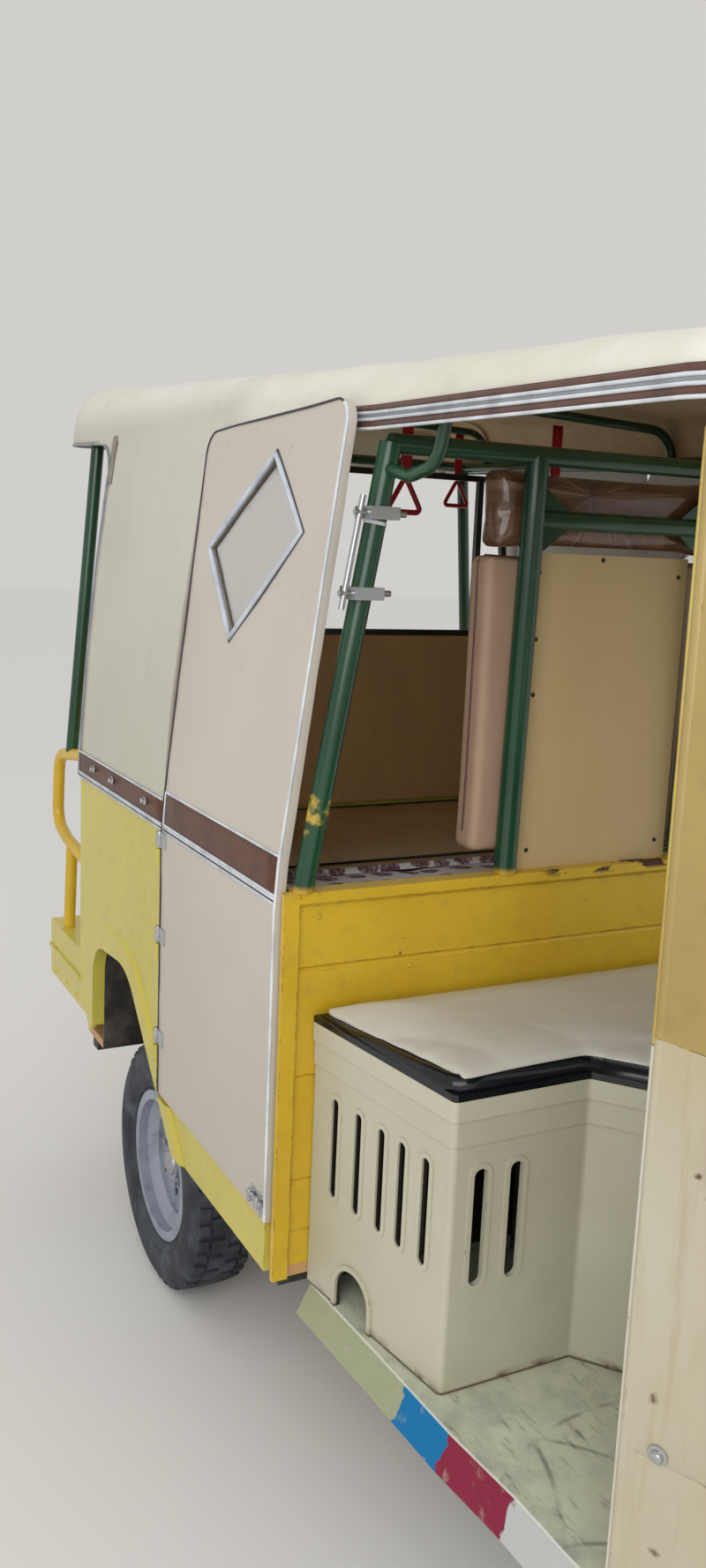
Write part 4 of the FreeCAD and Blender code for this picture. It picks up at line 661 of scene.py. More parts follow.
def piping(name, lines, radius, finish, body="root", slot_name="roof_vinyl", closed=False, rounds=2):
    """A round bead along each line of places. Its radius is each point's, so that its box fits it."""
    curve = bpy.data.curves.new(name, "CURVE")
    curve.dimensions = "3D"
    curve.bevel_depth = 1
    curve.bevel_resolution = rounds
    curve.use_fill_caps = True
    for places in lines:
        spline = curve.splines.new("POLY")
        spline.points.add(len(places) - 1)
        for point, place in zip(spline.points, places):
            point.co = (*place, 1)
            point.radius = radius / 1000
        spline.use_cyclic_u = closed
    bead = bpy.data.objects.new(name, curve)
    bpy.context.scene.collection.objects.link(bead)
    curve.materials.append(finish)
    return attached(bead, body, slot_name)


def rolled_edge(side, word):
    """The cab front's rolled rear edge, found where a line from the side first meets it."""
    places = []
    inwards = Vector((0, -side, 0))
    for z in range(440, 1840, 20):
        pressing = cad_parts["windshield_frame" if z > COWL_YELLOW * 1000 else "front_cowl"]
        behind, ahead = EDGE_SEARCH
        for _ in range(9):
            middle = (behind + ahead) / 2
            if pressing.ray_cast(at(middle, side * 900, z), inwards, distance=0.6)[0]:
                ahead = middle
            else:
                behind = middle
        hit, place, _, _ = pressing.ray_cast(at(ahead + 1, side * 900, z), inwards)
        if hit and ahead < EDGE_SEARCH[1] - 1:
            places.append(at(ahead + 1, side * (abs(place.y) * 1000 - EDGE_SUNK), z))
    cream = [place for place in places if place.z < COWL_YELLOW]
    yellow = cream[-1:] + [place for place in places if place.z > COWL_YELLOW]
    piping("cowl_edge_" + word, [cream], EDGE_R, edge_cream, "root", "cream_paint", rounds=3)
    piping("frame_edge_" + word, [yellow], EDGE_R, edge_yellow, "root", "yellow_paint", rounds=3)


trim_steel = grained("trim_steel", (186, 188, 190), 0.26, 0.9, 200, 0.15)
red_finish = Finish("red_lens", (168, 24, 24), 0.14)
red_finish.drive("Coat Weight", 0.6)
red_finish.relief(red_finish.mottle(420, 0.45, 0.55, detail=0), 0.35, 0.0006)
red_lens = red_finish.made
dress(streaked_cream("cowl_paint"), "front_cowl")
for side, word in SIDES:
    cowl_trim(side, word)
yellow_enamel = enamel("yellow_enamel", (216, 180, 48), (200, 162, 34), 0.34, knocked=flange_chips)
pale_yellow = enamel("pale_yellow", (205, 191, 84), (195, 181, 76), 0.3, 0.28)
dress(enamel("pillar_yellow", (173, 152, 92), (164, 140, 80), 0.34), "windshield_frame")
edge_cream = enamel("edge_cream", (212, 210, 196), (204, 198, 178), 0.3)
edge_yellow = enamel("edge_yellow", (204, 184, 98), (182, 154, 82), 0.34)
for side, word in SIDES:
    rolled_edge(side, word)
dress(yellow_enamel, "front_mudguard", "tub_front_panel", "corner_channels", "grab_rails")
dress(pale_yellow, "tub_side_left", "tub_side_right", "tub_rear_panel", "rear_step")


# Panes: the glass windshield, held in its frame's rubber, and clear soft vinyl sewn into each
# door's diamond.

def clear_pane(name, tint, roughness, wave):
    finish = Finish(name, tint, roughness)
    finish.drive("Transmission Weight", 1.0)
    finish.drive("IOR", 1.45)
    finish.relief(finish.mottle(7, 0.2, 0.8, detail=2), wave, 0.004)
    return finish.made


dress(clear_pane("windshield_pane", (238, 244, 244), 0.02, 0.08), "windshield_glass")
dress(clear_pane("door_pane", (228, 226, 222), 0.10, 0.3), "door_pane_left", "door_pane_right")


# Lamps: fluted lenses in chromed rims, orange signals above them, red lamps on the rear step, and
# an oval dome lamp on the ceiling. Each shell is pressed steel, screwed in from the front.

def head_lamp_finish(name):
    finish = Finish(name, (214, 218, 220), 0.16)
    signal = finish.along("Z").between(0.955, 0.957)
    out, up = finish.along("Y").size() - 0.235, finish.along("Z") - 0.850
    chrome = (out * out + up * up).root().between(0.0700, 0.0712) * (1.0 - signal)
    flutes = finish.node("TexWave", "Fac", [("bands_direction", "Y")], Scale=34, Vector=finish.position())
    lens = finish.coat(signal, (206, 212, 214), (214, 110, 20))
    finish.colour(finish.coat(chrome, lens, (200, 202, 204)))
    finish.drive("Metallic", chrome)
    finish.relief(flutes, 0.5, 0.0015)
    return finish.made


dress(head_lamp_finish("head_lamp_glass"), "head_lamps")
dress(red_lens, "tail_lamps")
dome_glass = grained("dome_glass", (214, 206, 190), 0.18, 0.0, 90, 0.4, 0.001)
dress(dome_glass, "dome_lamp")

shape = bmesh.new()
for side in (-1, 1):
    for low, high, radius, tip in ((-0.5, 5, 31, 31), (5, 9, 31, 24)):
        soften(shape, turned_rod(shape, at(-766 - 14 - high + 9, side * 520, 612),
                                 at(-766 - 14 - low + 9, side * 520, 612), tip, radius, 40), 1, 2)
finished(shape, "tail_lamp_lenses", red_lens, "root", "red_lens")


# Seat box: folded sheet steel in cream enamel, slotted for the engine's air, with a little rust
# in the floor seam. The lid's upper edge is lapped by the cushion's glossy black binding.

BINDING_LOW = 0.894


def seat_box_paint(name):
    finish = Finish(name, (204, 201, 178), 0.32)
    tone = finish.coat(finish.mottle(3, 0.3, 0.7), (192, 189, 168), (184, 180, 156))
    low = finish.along("Z").between(0.436, 0.418)
    crept = low * finish.mottle(24, 0.42, 0.66)
    seam = finish.along("Z").between(0.4235, 0.42) * 0.85
    crept = crept.most(seam)
    rusty = crept.most(chips(finish, 30, 0.275, 0.12))
    painted = finish.coat(rusty, tone, (80, 60, 44))
    # Painted shade: every face sunk more than a few millimetres inside the box's slanted sides, the slots'
    # walls and what shows through them, is painted near black.
    along = finish.along("X") - (REAR_AXLE + 0.762)
    wall = 0.559 - along * 0.147
    deep = wall - finish.along("Y").size()
    recess_shade = deep.between(0.0035, 0.0055) * along.between(0.349, 0.347)
    finish.colour(finish.coat(recess_shade, painted, (44, 38, 32)))
    finish.relief(finish.mottle(5, 0.2, 0.8, detail=2), 0.3, 0.006)
    return finish.made


dress(seat_box_paint("seat_box_paint"), "seat_box")


def lid_paint(name):
    """The box's enamel, with the cushion's black binding lapped over the upper edge."""
    finish = Finish(name, (188, 185, 164), 0.32)
    bound = finish.along("Z").between(BINDING_LOW - 0.0004, BINDING_LOW)
    finish.colour(finish.coat(bound, (192, 189, 168), (16, 18, 24)))
    finish.drive("Roughness", 0.32 - bound * 0.18)
    finish.relief(bound, 0.5, 0.0015)
    finish.relief(finish.mottle(14, 0.3, 0.7, (1, 1, 3)), 0.3, 0.002)
    return finish.made


dress(lid_paint("lid_paint"), "seat_lid")


# Roof and side curtains: one sheet of coated cloth, stretched over the roof rails and hoops, near
# white above and beige where it hangs between the roof and the tub behind each door. Its lower
# edges are bound with grey-white piping, and it laps the tub's side with a sewn hem.

# x, half width, edge z, shoulder z, crown z, shoulder radius
ROOF_RIBS = [(-795, 560, 1905, 2020, 2040, 60), (-735, 566, 1903, 2045, 2075, 80),
             (165, 520, 1875, 1995, 2025, 80), (775, 503, 1857, 1962, 1992, 75),
             (1480, 503, 1846, 1928, 1956, 60), (1545, 478, 1846, 1918, 1944, 50),
             (1595, 420, 1847, 1905, 1928, 40), (1630, 300, 1848, 1890, 1908, 28),
             (1648, 160, 1849, 1875, 1886, 16)]
ROOF_STEPS = ([-795, -780, -762, -735, -700, -650, -600, -560, -545, -530, -515, -500, -485, -470]
              + [-470 + 633 * step / 22 for step in range(1, 23)] + [168]
              + [175 + 600 * step / 18 for step in range(19)]
              + [775 + 705 * step / 22 for step in range(1, 23)]
              + [1500, 1522, 1545, 1570, 1595, 1612, 1630, 1640, 1648])
HOOPS = [-520, 300, 1180]
ROOF_SAG = 7
CURTAIN = (-470, 163)
BELT = 1157
HEM = 1092
HEM_OUT = 627.8
CURTAIN_ROWS = 30


def along_table(x, table):
    """The row of sizes at x, between the two rows of a table on either side of it."""
    for low, high in zip(table, table[1:]):
        if x <= high[0] or high is table[-1]:
            share = min(max((x - low[0]) / (high[0] - low[0]), 0), 1)
            return [a + (b - a) * share for a, b in zip(low, high)][1:]


def eased(value, low, high):
    share = min(max((value - low) / (high - low), 0), 1)
    return share * share * (3 - 2 * share)


def curtain_face(x, z):
    """How far out the curtain stands: a bow from the tub's side up to the roof's edge."""
    share = (x - CURTAIN[0]) / (CURTAIN[1] - CURTAIN[0])
    top, top_half = along_table(x, ROOF_RIBS)[1], 549 - 9 * share
    stations = [(BELT, 625), (1483, 600), (top, top_half)]
    out = 0
    for index, (height, half) in enumerate(stations):
        weight = 1
        for other, (level, _) in enumerate(stations):
            if other != index:
                weight *= (z - level) / (height - level)
        out += half * weight
    return out


def rib_points(x, inset=0.0, from_edge=0.0):
    """Half a section of the roof, from its edge up and over to the middle: y, z, height share."""
    half, edge, shoulder, crown, radius = along_table(x, ROOF_RIBS)
    half, shoulder, crown = half - inset, shoulder - inset, crown - inset
    slope = math.atan2(crown - shoulder, half - 6)
    reach = radius * math.tan((math.pi / 2 - slope) / 2)
    top_of_wall = shoulder - reach
    start = min(edge + from_edge, top_of_wall - 4) if from_edge else edge
    points = []
    for share in (0, 0.25, 0.5, 0.75):
        z = start + (top_of_wall - start) * share
        out = half - 6 * max(z - edge, 0) / (shoulder - edge)
        if CURTAIN[0] <= x <= CURTAIN[1] and not inset:
            out += (curtain_face(x, edge) - half) * (1 - share) ** 2
        points.append((out, z))
    for step in range(10):
        turn = (math.pi / 2 - slope) * step / 9
        points.append((half - 6 - radius + radius * math.cos(turn), top_of_wall + radius * math.sin(turn)))
    blend = 1500 * math.tan(slope)
    first = points[-1][0]
    for step in range(1, 11):
        y = first * (1 - step / 10)
        drop = y if y > blend else (y * y + blend * blend) / (2 * blend)
        points.append((y, crown - math.tan(slope) * drop))
    return points


def slack(x, y):
    """How far the cloth sinks between the hoops, in millimetres."""
    for low, high in zip(HOOPS, HOOPS[1:]):
        if low < x < high:
            span = 0.5 - 0.5 * math.cos(math.tau * (x - low) / (high - low))
            return ROOF_SAG * span * eased(460 - abs(y), 0, 160)
    return 0


def ripple(x, y, z, pitch, height):
    """Slow creases in hand-stretched cloth, in millimetres."""
    return noise.noise(Vector((x, y, z)) / pitch) * height


def full_rib(x, inset=0.0, from_edge=0.0):
    """The whole section at x, right edge to left edge, with the cloth's slack and creases."""
    halves = []
    for way, offset in ((1, 0), (-1, 977)):
        half = []
        for out, z in rib_points(x, inset, from_edge):
            crease = ripple(x + offset, out, z, 130, 3) + ripple(x + offset, out * 3, z, 60, 1.2)
            half.append(at(x, way * out, z - slack(x, out) + crease * eased(out, 0, 90)))
        halves.append(half)
    left, right = halves
    return right + left[-2::-1]


def verts_in(made):
    return [item for item in made if isinstance(item, bmesh.types.BMVert)]


def drawn_on(shape, row, places):
    """Draws a row of vertices on to a new row of places."""
    edges = [shape.edges.get(pair) for pair in zip(row, row[1:])]
    made = bmesh.ops.extrude_edge_only(shape, edges=edges)["geom"]
    fresh = {vert.co.to_tuple(5): vert for vert in verts_in(made)}
    drawn = [fresh[vert.co.to_tuple(5)] for vert in row]
    for vert, place in zip(drawn, places):
        vert.co = place
    return drawn


def drawn_sheet(shape, rows):
    """A sheet through rows of places. Gives back its rows of vertices."""
    first = [shape.verts.new(place) for place in rows[0]]
    for pair in zip(first, first[1:]):
        shape.edges.new(pair)
    made = [first]
    for places in rows[1:]:
        made.append(drawn_on(shape, made[-1], places))
    return made


def facing(shape, way):
    """Turns an open sheet so that most of it looks one way."""
    bmesh.ops.recalc_face_normals(shape, faces=shape.faces)
    if sum((face.normal * face.calc_area() for face in shape.faces), Vector()).dot(way) < 0:
        bmesh.ops.reverse_faces(shape, faces=shape.faces)


def cloth_thickness(piece, thickness):
    """Gives a sheet its thickness, inwards from its face."""
    wall = piece.modifiers.new("cloth", "SOLIDIFY")
    wall.thickness = thickness / 1000
    wall.offset = -1


def hanging_rows(shape, column, side):
    """Draws the curtain down from the roof's edge to the hem over the tub."""
    row, fronts = column, []
    xs = [(vert.co.x - REAR_AXLE) * 1000 for vert in column]
    for step in range(1, CURTAIN_ROWS + 1):
        places = []
        for x in xs:
            edge = along_table(x, ROOF_RIBS)[1]
            z = edge + (BELT - edge) * step / CURTAIN_ROWS
            hung = math.sin(math.pi * step / CURTAIN_ROWS)
            fold = ripple(x * 3.2 + 40 * side, side * 7, z * 0.32, 150, 5.5) * hung
            fold += ripple(x + z * 0.6, side * 31, z, 75, 1.8) * hung
            places.append(at(x, side * (curtain_face(x, z) + fold + 1), z))
        row = drawn_on(shape, row, places)
        fronts.append(row[-1])
    bent = [shape.verts.new(vert.co + Vector((0, -side * 0.014, 0))) for vert in fronts]
    for (near_edge, near_bent), (far_edge, far_bent) in zip(zip(fronts, bent), zip(fronts[1:], bent[1:])):
        shape.faces.new((near_edge, near_bent, far_bent, far_edge))
    for z, out in ((BELT - 8, 627.2), (BELT - 20, 627.6), (HEM, HEM_OUT)):
        row = drawn_on(shape, row, [at(x, side * out, z) for x in xs])


def coated_cloth(name):
    """Vinyl-coated cloth: near white on the roof, beige below its edge, with faint greenish runs."""
    finish = Finish(name, (206, 201, 190), 0.4)
    beige = finish.coat(finish.mottle(2.6, 0.3, 0.75), (205, 200, 188), (196, 192, 178))
    green = finish.mottle(7, 0.55, 0.78, (2.4, 1, 0.35)) * 0.3
    beige = finish.coat(green, beige, (176, 178, 152))
    # Painted shade: the curtains are painted darker from 1.6 m down to their hem.
    low = finish.along("Z").between(1.6, 1.15) * 0.5
    beige = finish.coat(low, beige, (188, 185, 166))
    white = finish.coat(finish.mottle(3.4, 0.3, 0.75), (232, 230, 219), (221, 217, 200))
    grime = finish.mottle(12, 0.52, 0.8, (0.6, 1, 1)) * 0.25
    white = finish.coat(grime, white, (178, 168, 142))
    high = finish.along("Z").between(1.915, 2.0)
    ahead = finish.along("X").between(REAR_AXLE + 0.15, REAR_AXLE + 0.34)
    finish.colour(finish.coat(high.most(ahead), beige, white))
    finish.grain(520, 0.1, 0.0003, 2)
    finish.relief(finish.mottle(9, 0.25, 0.8, detail=3), 0.25, 0.004)
    return finish.made


def laid_strip(name, rows, way, thickness, finish, body="root", slot_name="brown_vinyl"):
    """A flat strip of vinyl sewn or stuck on, through rows of places on what carries it."""
    shape = bmesh.new()
    drawn_sheet(shape, rows)
    facing(shape, way)
    strip = object_from(shape, name, finish)
    cloth_thickness(strip, thickness)
    return attached(strip, body, slot_name)


roof_cloth = coated_cloth("roof_cloth")
shape = bmesh.new()
ribs = [full_rib(x) for x in ROOF_STEPS]
tail = [Vector((place.x - 0.0008, place.y, min(place.z, ribs[0][0].z))) for place in ribs[0]]
nose = [Vector((place.x + 0.0015, place.y, min(place.z, ribs[-1][0].z))) for place in ribs[-1]]
ribs = drawn_sheet(shape, [tail] + ribs + [nose])[1:-1]
for side, end in ((-1, 0), (1, -1)):
    column = [rib[end] for x, rib in zip(ROOF_STEPS, ribs) if CURTAIN[0] <= x <= CURTAIN[1]]
    hanging_rows(shape, column, side)
    corner = [(x, rib[end]) for x, rib in zip(ROOF_STEPS, ribs) if -560 <= x <= -470]
    sweep = [90 * (1 - math.sqrt(max(1 - ((x + 560) / 90) ** 2, 0))) for x, _ in corner]
    drawn_on(shape, [vert for _, vert in corner],
             [Vector((vert.co.x, side * (curtain_face(-470, 1900 - drop) / 1000), vert.co.z - drop / 1000))
              for (x, vert), drop in zip(corner, sweep)])
bmesh.ops.remove_doubles(shape, verts=shape.verts, dist=2e-5)
facing(shape, Vector((0, 0, 1)))
canopy = object_from(shape, "roof_and_curtains", roof_cloth)
cloth_thickness(canopy, 1.6)
attached(canopy, "root", "roof_vinyl", "roof_canopy", "side_curtains", "roof_front")


# Trim on the roof's edge: white piping in three rows with brown and grey bands between them ahead
# of the doors and round the nose, one grey-white piping behind them that turns down the curtain's
# rear edge, and a square patch sewn over that corner.

TRIM_START = 700


def brim(height, out, side):
    """A line along the roof's edge from beside the partition to the middle of the nose."""
    places = []
    for x in [TRIM_START] + [step for step in ROOF_STEPS if step > TRIM_START + 4]:
        half, edge, shoulder = along_table(x, ROOF_RIBS)[:3]
        lean = 6 * height / (shoulder - edge)
        narrow = 1 if x <= 1480 else max(0, 1 - (x - 1480) / 400)
        places.append(at(x + (1 - narrow) * out * 1.5, side * (half - lean + out * narrow), edge + height))
    places.append(at(ROOF_STEPS[-1] + 1.5 + out, side * 80, along_table(1648, ROOF_RIBS)[1] + height))
    places.append(at(ROOF_STEPS[-1] + 1.5 + out, 0, along_table(1648, ROOF_RIBS)[1] + height))
    return places


def round_the_nose(height, out):
    return brim(height, out, -1) + brim(height, out, 1)[-2::-1]


def plain_vinyl(name, colour, shade, roughness=0.4):
    finish = Finish(name, colour, roughness)
    finish.colour(finish.coat(finish.mottle(18, 0.35, 0.7), colour, shade))
    finish.grain(420, 0.15, 0.0003, 2)
    return finish.made


white_trim = plain_vinyl("white_trim", (222, 226, 230), (190, 194, 200))
grey_trim = plain_vinyl("grey_trim", (150, 154, 160), (128, 130, 138))
brown_trim = plain_vinyl("brown_trim", (104, 72, 62), (84, 56, 50), 0.34)
dark_trim = plain_vinyl("dark_trim", (58, 46, 56), (40, 34, 42))
piping("roof_piping", [round_the_nose(height, 1.5) for height in (1, 15, 25)], 2.6, white_trim)
for name, low, high, finish in (("roof_band_low", 3, 13, brown_trim), ("roof_band_middle", 16, 24, grey_trim),
                                ("roof_band_high", 27, 37, brown_trim)):
    laid_strip(name, [round_the_nose(low, 1.2), round_the_nose(high, 1.2)], Vector((0, 0, 1)), 1.0, finish)

rear_trim = []
for side in (-1, 1):
    places = [at(CURTAIN[0] - 1, side * (curtain_face(CURTAIN[0], z) + 2), z)
              for z in (1100, 1157, 1240, 1330, 1430, 1530, 1630, 1720, 1780, 1808)]
    for step in range(1, 9):
        turn = math.pi / 2 * step / 8
        x, z = -560 + 90 * math.cos(turn), 1808 + 90 * math.sin(turn)
        places.append(at(x, side * (curtain_face(-470, z) + 4 * step / 8), z))
    for x in (-600, -650, -700, -735, -765, -790):
        half, edge = along_table(x, ROOF_RIBS)[:2]
        places.append(at(x, side * (half + 1.5), edge + 1))
    rear_trim.append(places)
whole_rear = rear_trim[0] + [at(-797.5, y, 1905) for y in (-545, -300, 0, 300, 545)] + rear_trim[1][::-1]
piping("rear_piping", [whole_rear], 3.2, grey_trim)
for side, word in SIDES:
    rows = [[at(x, side * (curtain_face(-470, z) + 3.2), z) for z in (1800, 1830, 1860, 1890, 1912)]
            for x in (-468, -452, -436)]
    laid_strip("corner_patch_" + word, rows, Vector((0, side, 0)), 1.2,
               plain_vinyl("corner_patch_" + word, (150, 142, 130), (128, 120, 110)))


# Stripe on the curtain's hem: a brown band between white pipings with a thin dark line in the
# lower white one, held to the tub by bright snap hooks.

SNAPS = [-336, -184, 53]


def ribbed_brown(name):
    """Brown vinyl with fine upright ribs."""
    finish = Finish(name, (104, 70, 56), 0.36)
    ribs = finish.node("TexWave", "Fac", [("bands_direction", "X")], Scale=70, Vector=finish.position())
    finish.drive("Specular IOR Level", 0.3)
    worn = finish.coat(finish.mottle(20, 0.4, 0.7), (106, 68, 52), (88, 56, 44))
    finish.colour(finish.coat(ribs * 0.4, worn, (74, 46, 38)))
    finish.relief(ribs, 0.4, 0.0012)
    return finish.made


stripe_brown = ribbed_brown("stripe_brown")
for side, word in SIDES:
    stops = [CURTAIN[0] + 1 + (CURTAIN[1] - CURTAIN[0] - 2) * step / 12 for step in range(13)]

    def hem_line(z, out, side=side, stops=stops):
        return [at(x, side * (max(curtain_face(x, max(z, BELT)), HEM_OUT) + out), z) for x in stops]

    laid_strip("hem_band_" + word, [hem_line(z, 1.6) for z in (1108, 1130, 1150, 1157)],
               Vector((0, side, 0)), 1.2, stripe_brown)
    laid_strip("hem_white_" + word, [hem_line(z, 1.4) for z in (1093, 1107)], Vector((0, side, 0)), 1.2,
               white_trim, "root", "roof_vinyl")
    piping("hem_piping_" + word, [hem_line(1159, 1.8), hem_line(1108, 1.8)], 2.2, white_trim)
    piping("hem_line_" + word, [hem_line(1100, 1.4)], 1.4, dark_trim, "root", "brown_vinyl")
    shape = bmesh.new()
    for x in SNAPS:
        place = at(x, side * 629.5, 1136)
        out = Vector((0, side, 0))
        soften(shape, turned_rod(shape, place, place + out * 0.003, 9, sides=24), 0.8, 2)
        soften(shape, turned_rod(shape, place + out * 0.0025, place + out * 0.010, 5, 6.5, 20), 1.6, 3)
        plate(shape, place + Vector((0.004, side * 0.004, -0.004)),
              place + Vector((0.022, side * 0.008, 0.004)), 1.5)
    finished(shape, "hem_snaps_" + word, trim_steel, "root", "bright_steel")


# Ceiling: brown cloth stretched under the roof's cover, above the rails and hoops, and tied to
# them along its edges.

def ceiling_cloth(name):
    finish = Finish(name, (176, 152, 122), 0.75)
    finish.colour(finish.coat(finish.mottle(8, 0.3, 0.7), (222, 196, 158), (204, 176, 138)))
    finish.grain(420, 0.3, 0.0005)
    finish.relief(finish.mottle(6, 0.25, 0.8, detail=3), 0.4, 0.006)
    return finish.made


shape = bmesh.new()
drawn_sheet(shape, [full_rib(x, 11, 36) for x in ROOF_STEPS if -785 <= x <= 1500][::2])
facing(shape, Vector((0, 0, -1)))
ceiling = object_from(shape, "ceiling_cloth", ceiling_cloth("ceiling_cloth"))
cloth_thickness(ceiling, 1.2)
attached(ceiling, "root", "lining_board")


# Doors: each a steel frame padded and covered in beige vinyl, with a diamond window bound in pale
# piping, a brown stripe at the belt, white piping up its front edge, three hinges and a tower bolt.

DOOR_X = (171, 747)
DOOR_Z = (535, 1908)
DOOR_TOP_FALL = 22
DOOR_THICK = 16
DOOR_OUT = 633
DOOR_BEND = (1085, 1165)
DIAMOND = [(498, 1829), (644, 1696), (405, 1504), (250, 1665)]
HINGES = [640, 860, 1060]
BOLT_Z = 566
BAND_X = (184, 745)


def door_face(x, z):
    """How far out the door's face stands: upright below the belt, leaning in above it."""
    low, high = DOOR_BEND
    middle = (low + high) / 2
    share = (x - DOOR_X[0]) / (DOOR_X[1] - DOOR_X[0])
    lean = (DOOR_OUT - (545 - 15 * share)) / (DOOR_Z[1] - middle)
    if z < low:
        return DOOR_OUT
    return DOOR_OUT - lean * (z - middle if z > high else (z - low) / 2)


def on_door(x, z, side, out=0.0):
    return at(x, side * (door_face(x, z) + out), z)


def door_outline(inset):
    """The door's edge from its low front corner up and over to its low rear corner: x, z."""
    rear, front = DOOR_X[0] + inset, DOOR_X[1] - inset
    top, radius = DOOR_Z[1] - inset, 45 - inset
    places = [(front, z) for z in (DOOR_Z[0] + inset, 800, 1085, 1125, 1165, 1400, 1650, top - radius - 1)]
    for step in range(1, 9):
        turn = math.pi / 2 * step / 8
        places.append((front - radius + radius * math.cos(turn), top - radius + radius * math.sin(turn)))
    fall = DOOR_TOP_FALL
    places += [(x, top - fall * (front - x) / (front - rear)) for x in (600, 500, 400, 300)]
    for step in range(9):
        turn = math.pi / 2 * (1 + step / 8)
        places.append((rear + radius + radius * math.cos(turn),
                       top - fall - radius + radius * math.sin(turn)))
    places += [(rear, z) for z in (1650, 1400, 1165, 1125, 1085, 800, DOOR_Z[0] + inset)]
    return places


def trimmed(shape, corners, keep_inside):
    """Cuts a flat sheet in x and y along the sides of a convex outline, and clears what is over."""
    middle = sum((Vector((x, z, 0)) for x, z in corners), Vector()) / len(corners)
    sides = []
    for (x0, z0), (x1, z1) in zip(corners, corners[1:] + corners[:1]):
        start = Vector((x0, z0, 0))
        normal = Vector((z1 - z0, x0 - x1, 0))
        if normal.length < 1e-6:
            continue
        normal.normalize()
        if (start - middle).dot(normal) < 0:
            normal.negate()
        sides.append((start, normal))
        bmesh.ops.bisect_plane(shape, geom=shape.verts[:] + shape.edges[:] + shape.faces[:], dist=1e-4,
                               plane_co=start, plane_no=normal, clear_outer=keep_inside)
    if not keep_inside:
        inside = [face for face in shape.faces
                  if all((face.calc_center_median() - start).dot(normal) < 0 for start, normal in sides)]
        bmesh.ops.delete(shape, geom=inside, context="FACES")


def door_cover(side, word, body):
    shape = bmesh.new()
    width, height = DOOR_X[1] - DOOR_X[0], DOOR_Z[1] - DOOR_Z[0]
    bmesh.ops.create_grid(shape, x_segments=24, y_segments=56, size=0.5)
    bmesh.ops.scale(shape, verts=shape.verts, vec=(width + 2, height + 2, 1))
    bmesh.ops.translate(shape, verts=shape.verts, vec=(DOOR_X[0] + width / 2, DOOR_Z[0] + height / 2, 0))
    trimmed(shape, door_outline(0), True)
    trimmed(shape, DIAMOND, False)
    for vert in shape.verts:
        x, z = vert.co.x, vert.co.y
        puff = 1.2 * noise.noise(Vector((x, z, 50 * side)) / 120) + 0.8 * noise.noise(Vector((x, z, 9)) / 45)
        vert.co = on_door(x, z, side, puff)
    facing(shape, Vector((0, side, 0)))
    cover = object_from(shape, "door_cover_" + word, door_vinyl)
    cloth_thickness(cover, DOOR_THICK)
    rounding = cover.modifiers.new("edges", "BEVEL")
    rounding.width = 0.004
    rounding.segments = 3
    rounding.limit_method = "ANGLE"
    rounding.angle_limit = math.radians(50)
    attached(cover, body, "beige_vinyl", "door_" + word)


def door_trim(side, word, body):
    out = Vector((0, side, 0))
    edge = [on_door(x, z, side, 0.5) for x, z in door_outline(2)]
    piping("door_front_piping_" + word, [edge[:13]], 3.0, white_trim, body)
    piping("door_top_piping_" + word, [edge[12:]], 2.2, dark_trim, body, "brown_vinyl")
    window = []
    for (x0, z0), (x1, z1) in zip(DIAMOND, DIAMOND[1:] + DIAMOND[:1]):
        window += [on_door(x0 + (x1 - x0) * step / 8, z0 + (z1 - z0) * step / 8, side, 1)
                   for step in range(8)]
    piping("window_binding_" + word, [window], 5.5, pale_binding, body, "roof_vinyl", closed=True)
    middle = Vector((sum(x for x, _ in DIAMOND), sum(z for _, z in DIAMOND))) / 4
    seam = []
    for place in window:
        flat = Vector(((place.x - REAR_AXLE) * 1000, place.z * 1000))
        flat += (flat - middle).normalized() * 8
        seam.append(on_door(flat.x, flat.y, side, 0.8))
    piping("window_seam_" + word, [seam], 1.2, dark_trim, body, "brown_vinyl", closed=True)
    stops = [BAND_X[0] + (BAND_X[1] - BAND_X[0]) * step / 10 for step in range(11)]

    def level(z, proud):
        return [on_door(x, z, side, proud) for x in stops]

    laid_strip("door_band_" + word, [level(z, 1.6) for z in (1112, 1125, 1140, 1155, 1165, 1176)], out, 1.2,
               stripe_brown, body)
    laid_strip("door_white_" + word, [level(z, 1.4) for z in (1094, 1103, 1111)], out, 1.2, white_trim, body,
               "roof_vinyl")
    piping("door_band_piping_" + word, [level(1112, 1.8), level(1178, 1.8)], 2.4, white_trim, body)
    piping("door_band_end_" + word, [[on_door(BAND_X[0], z, side, 1.8) for z in (1112, 1145, 1178)]], 2.2,
           white_trim, body)
    piping("door_line_" + word, [level(1102, 1.6)], 1.5, dark_trim, body, "brown_vinyl")


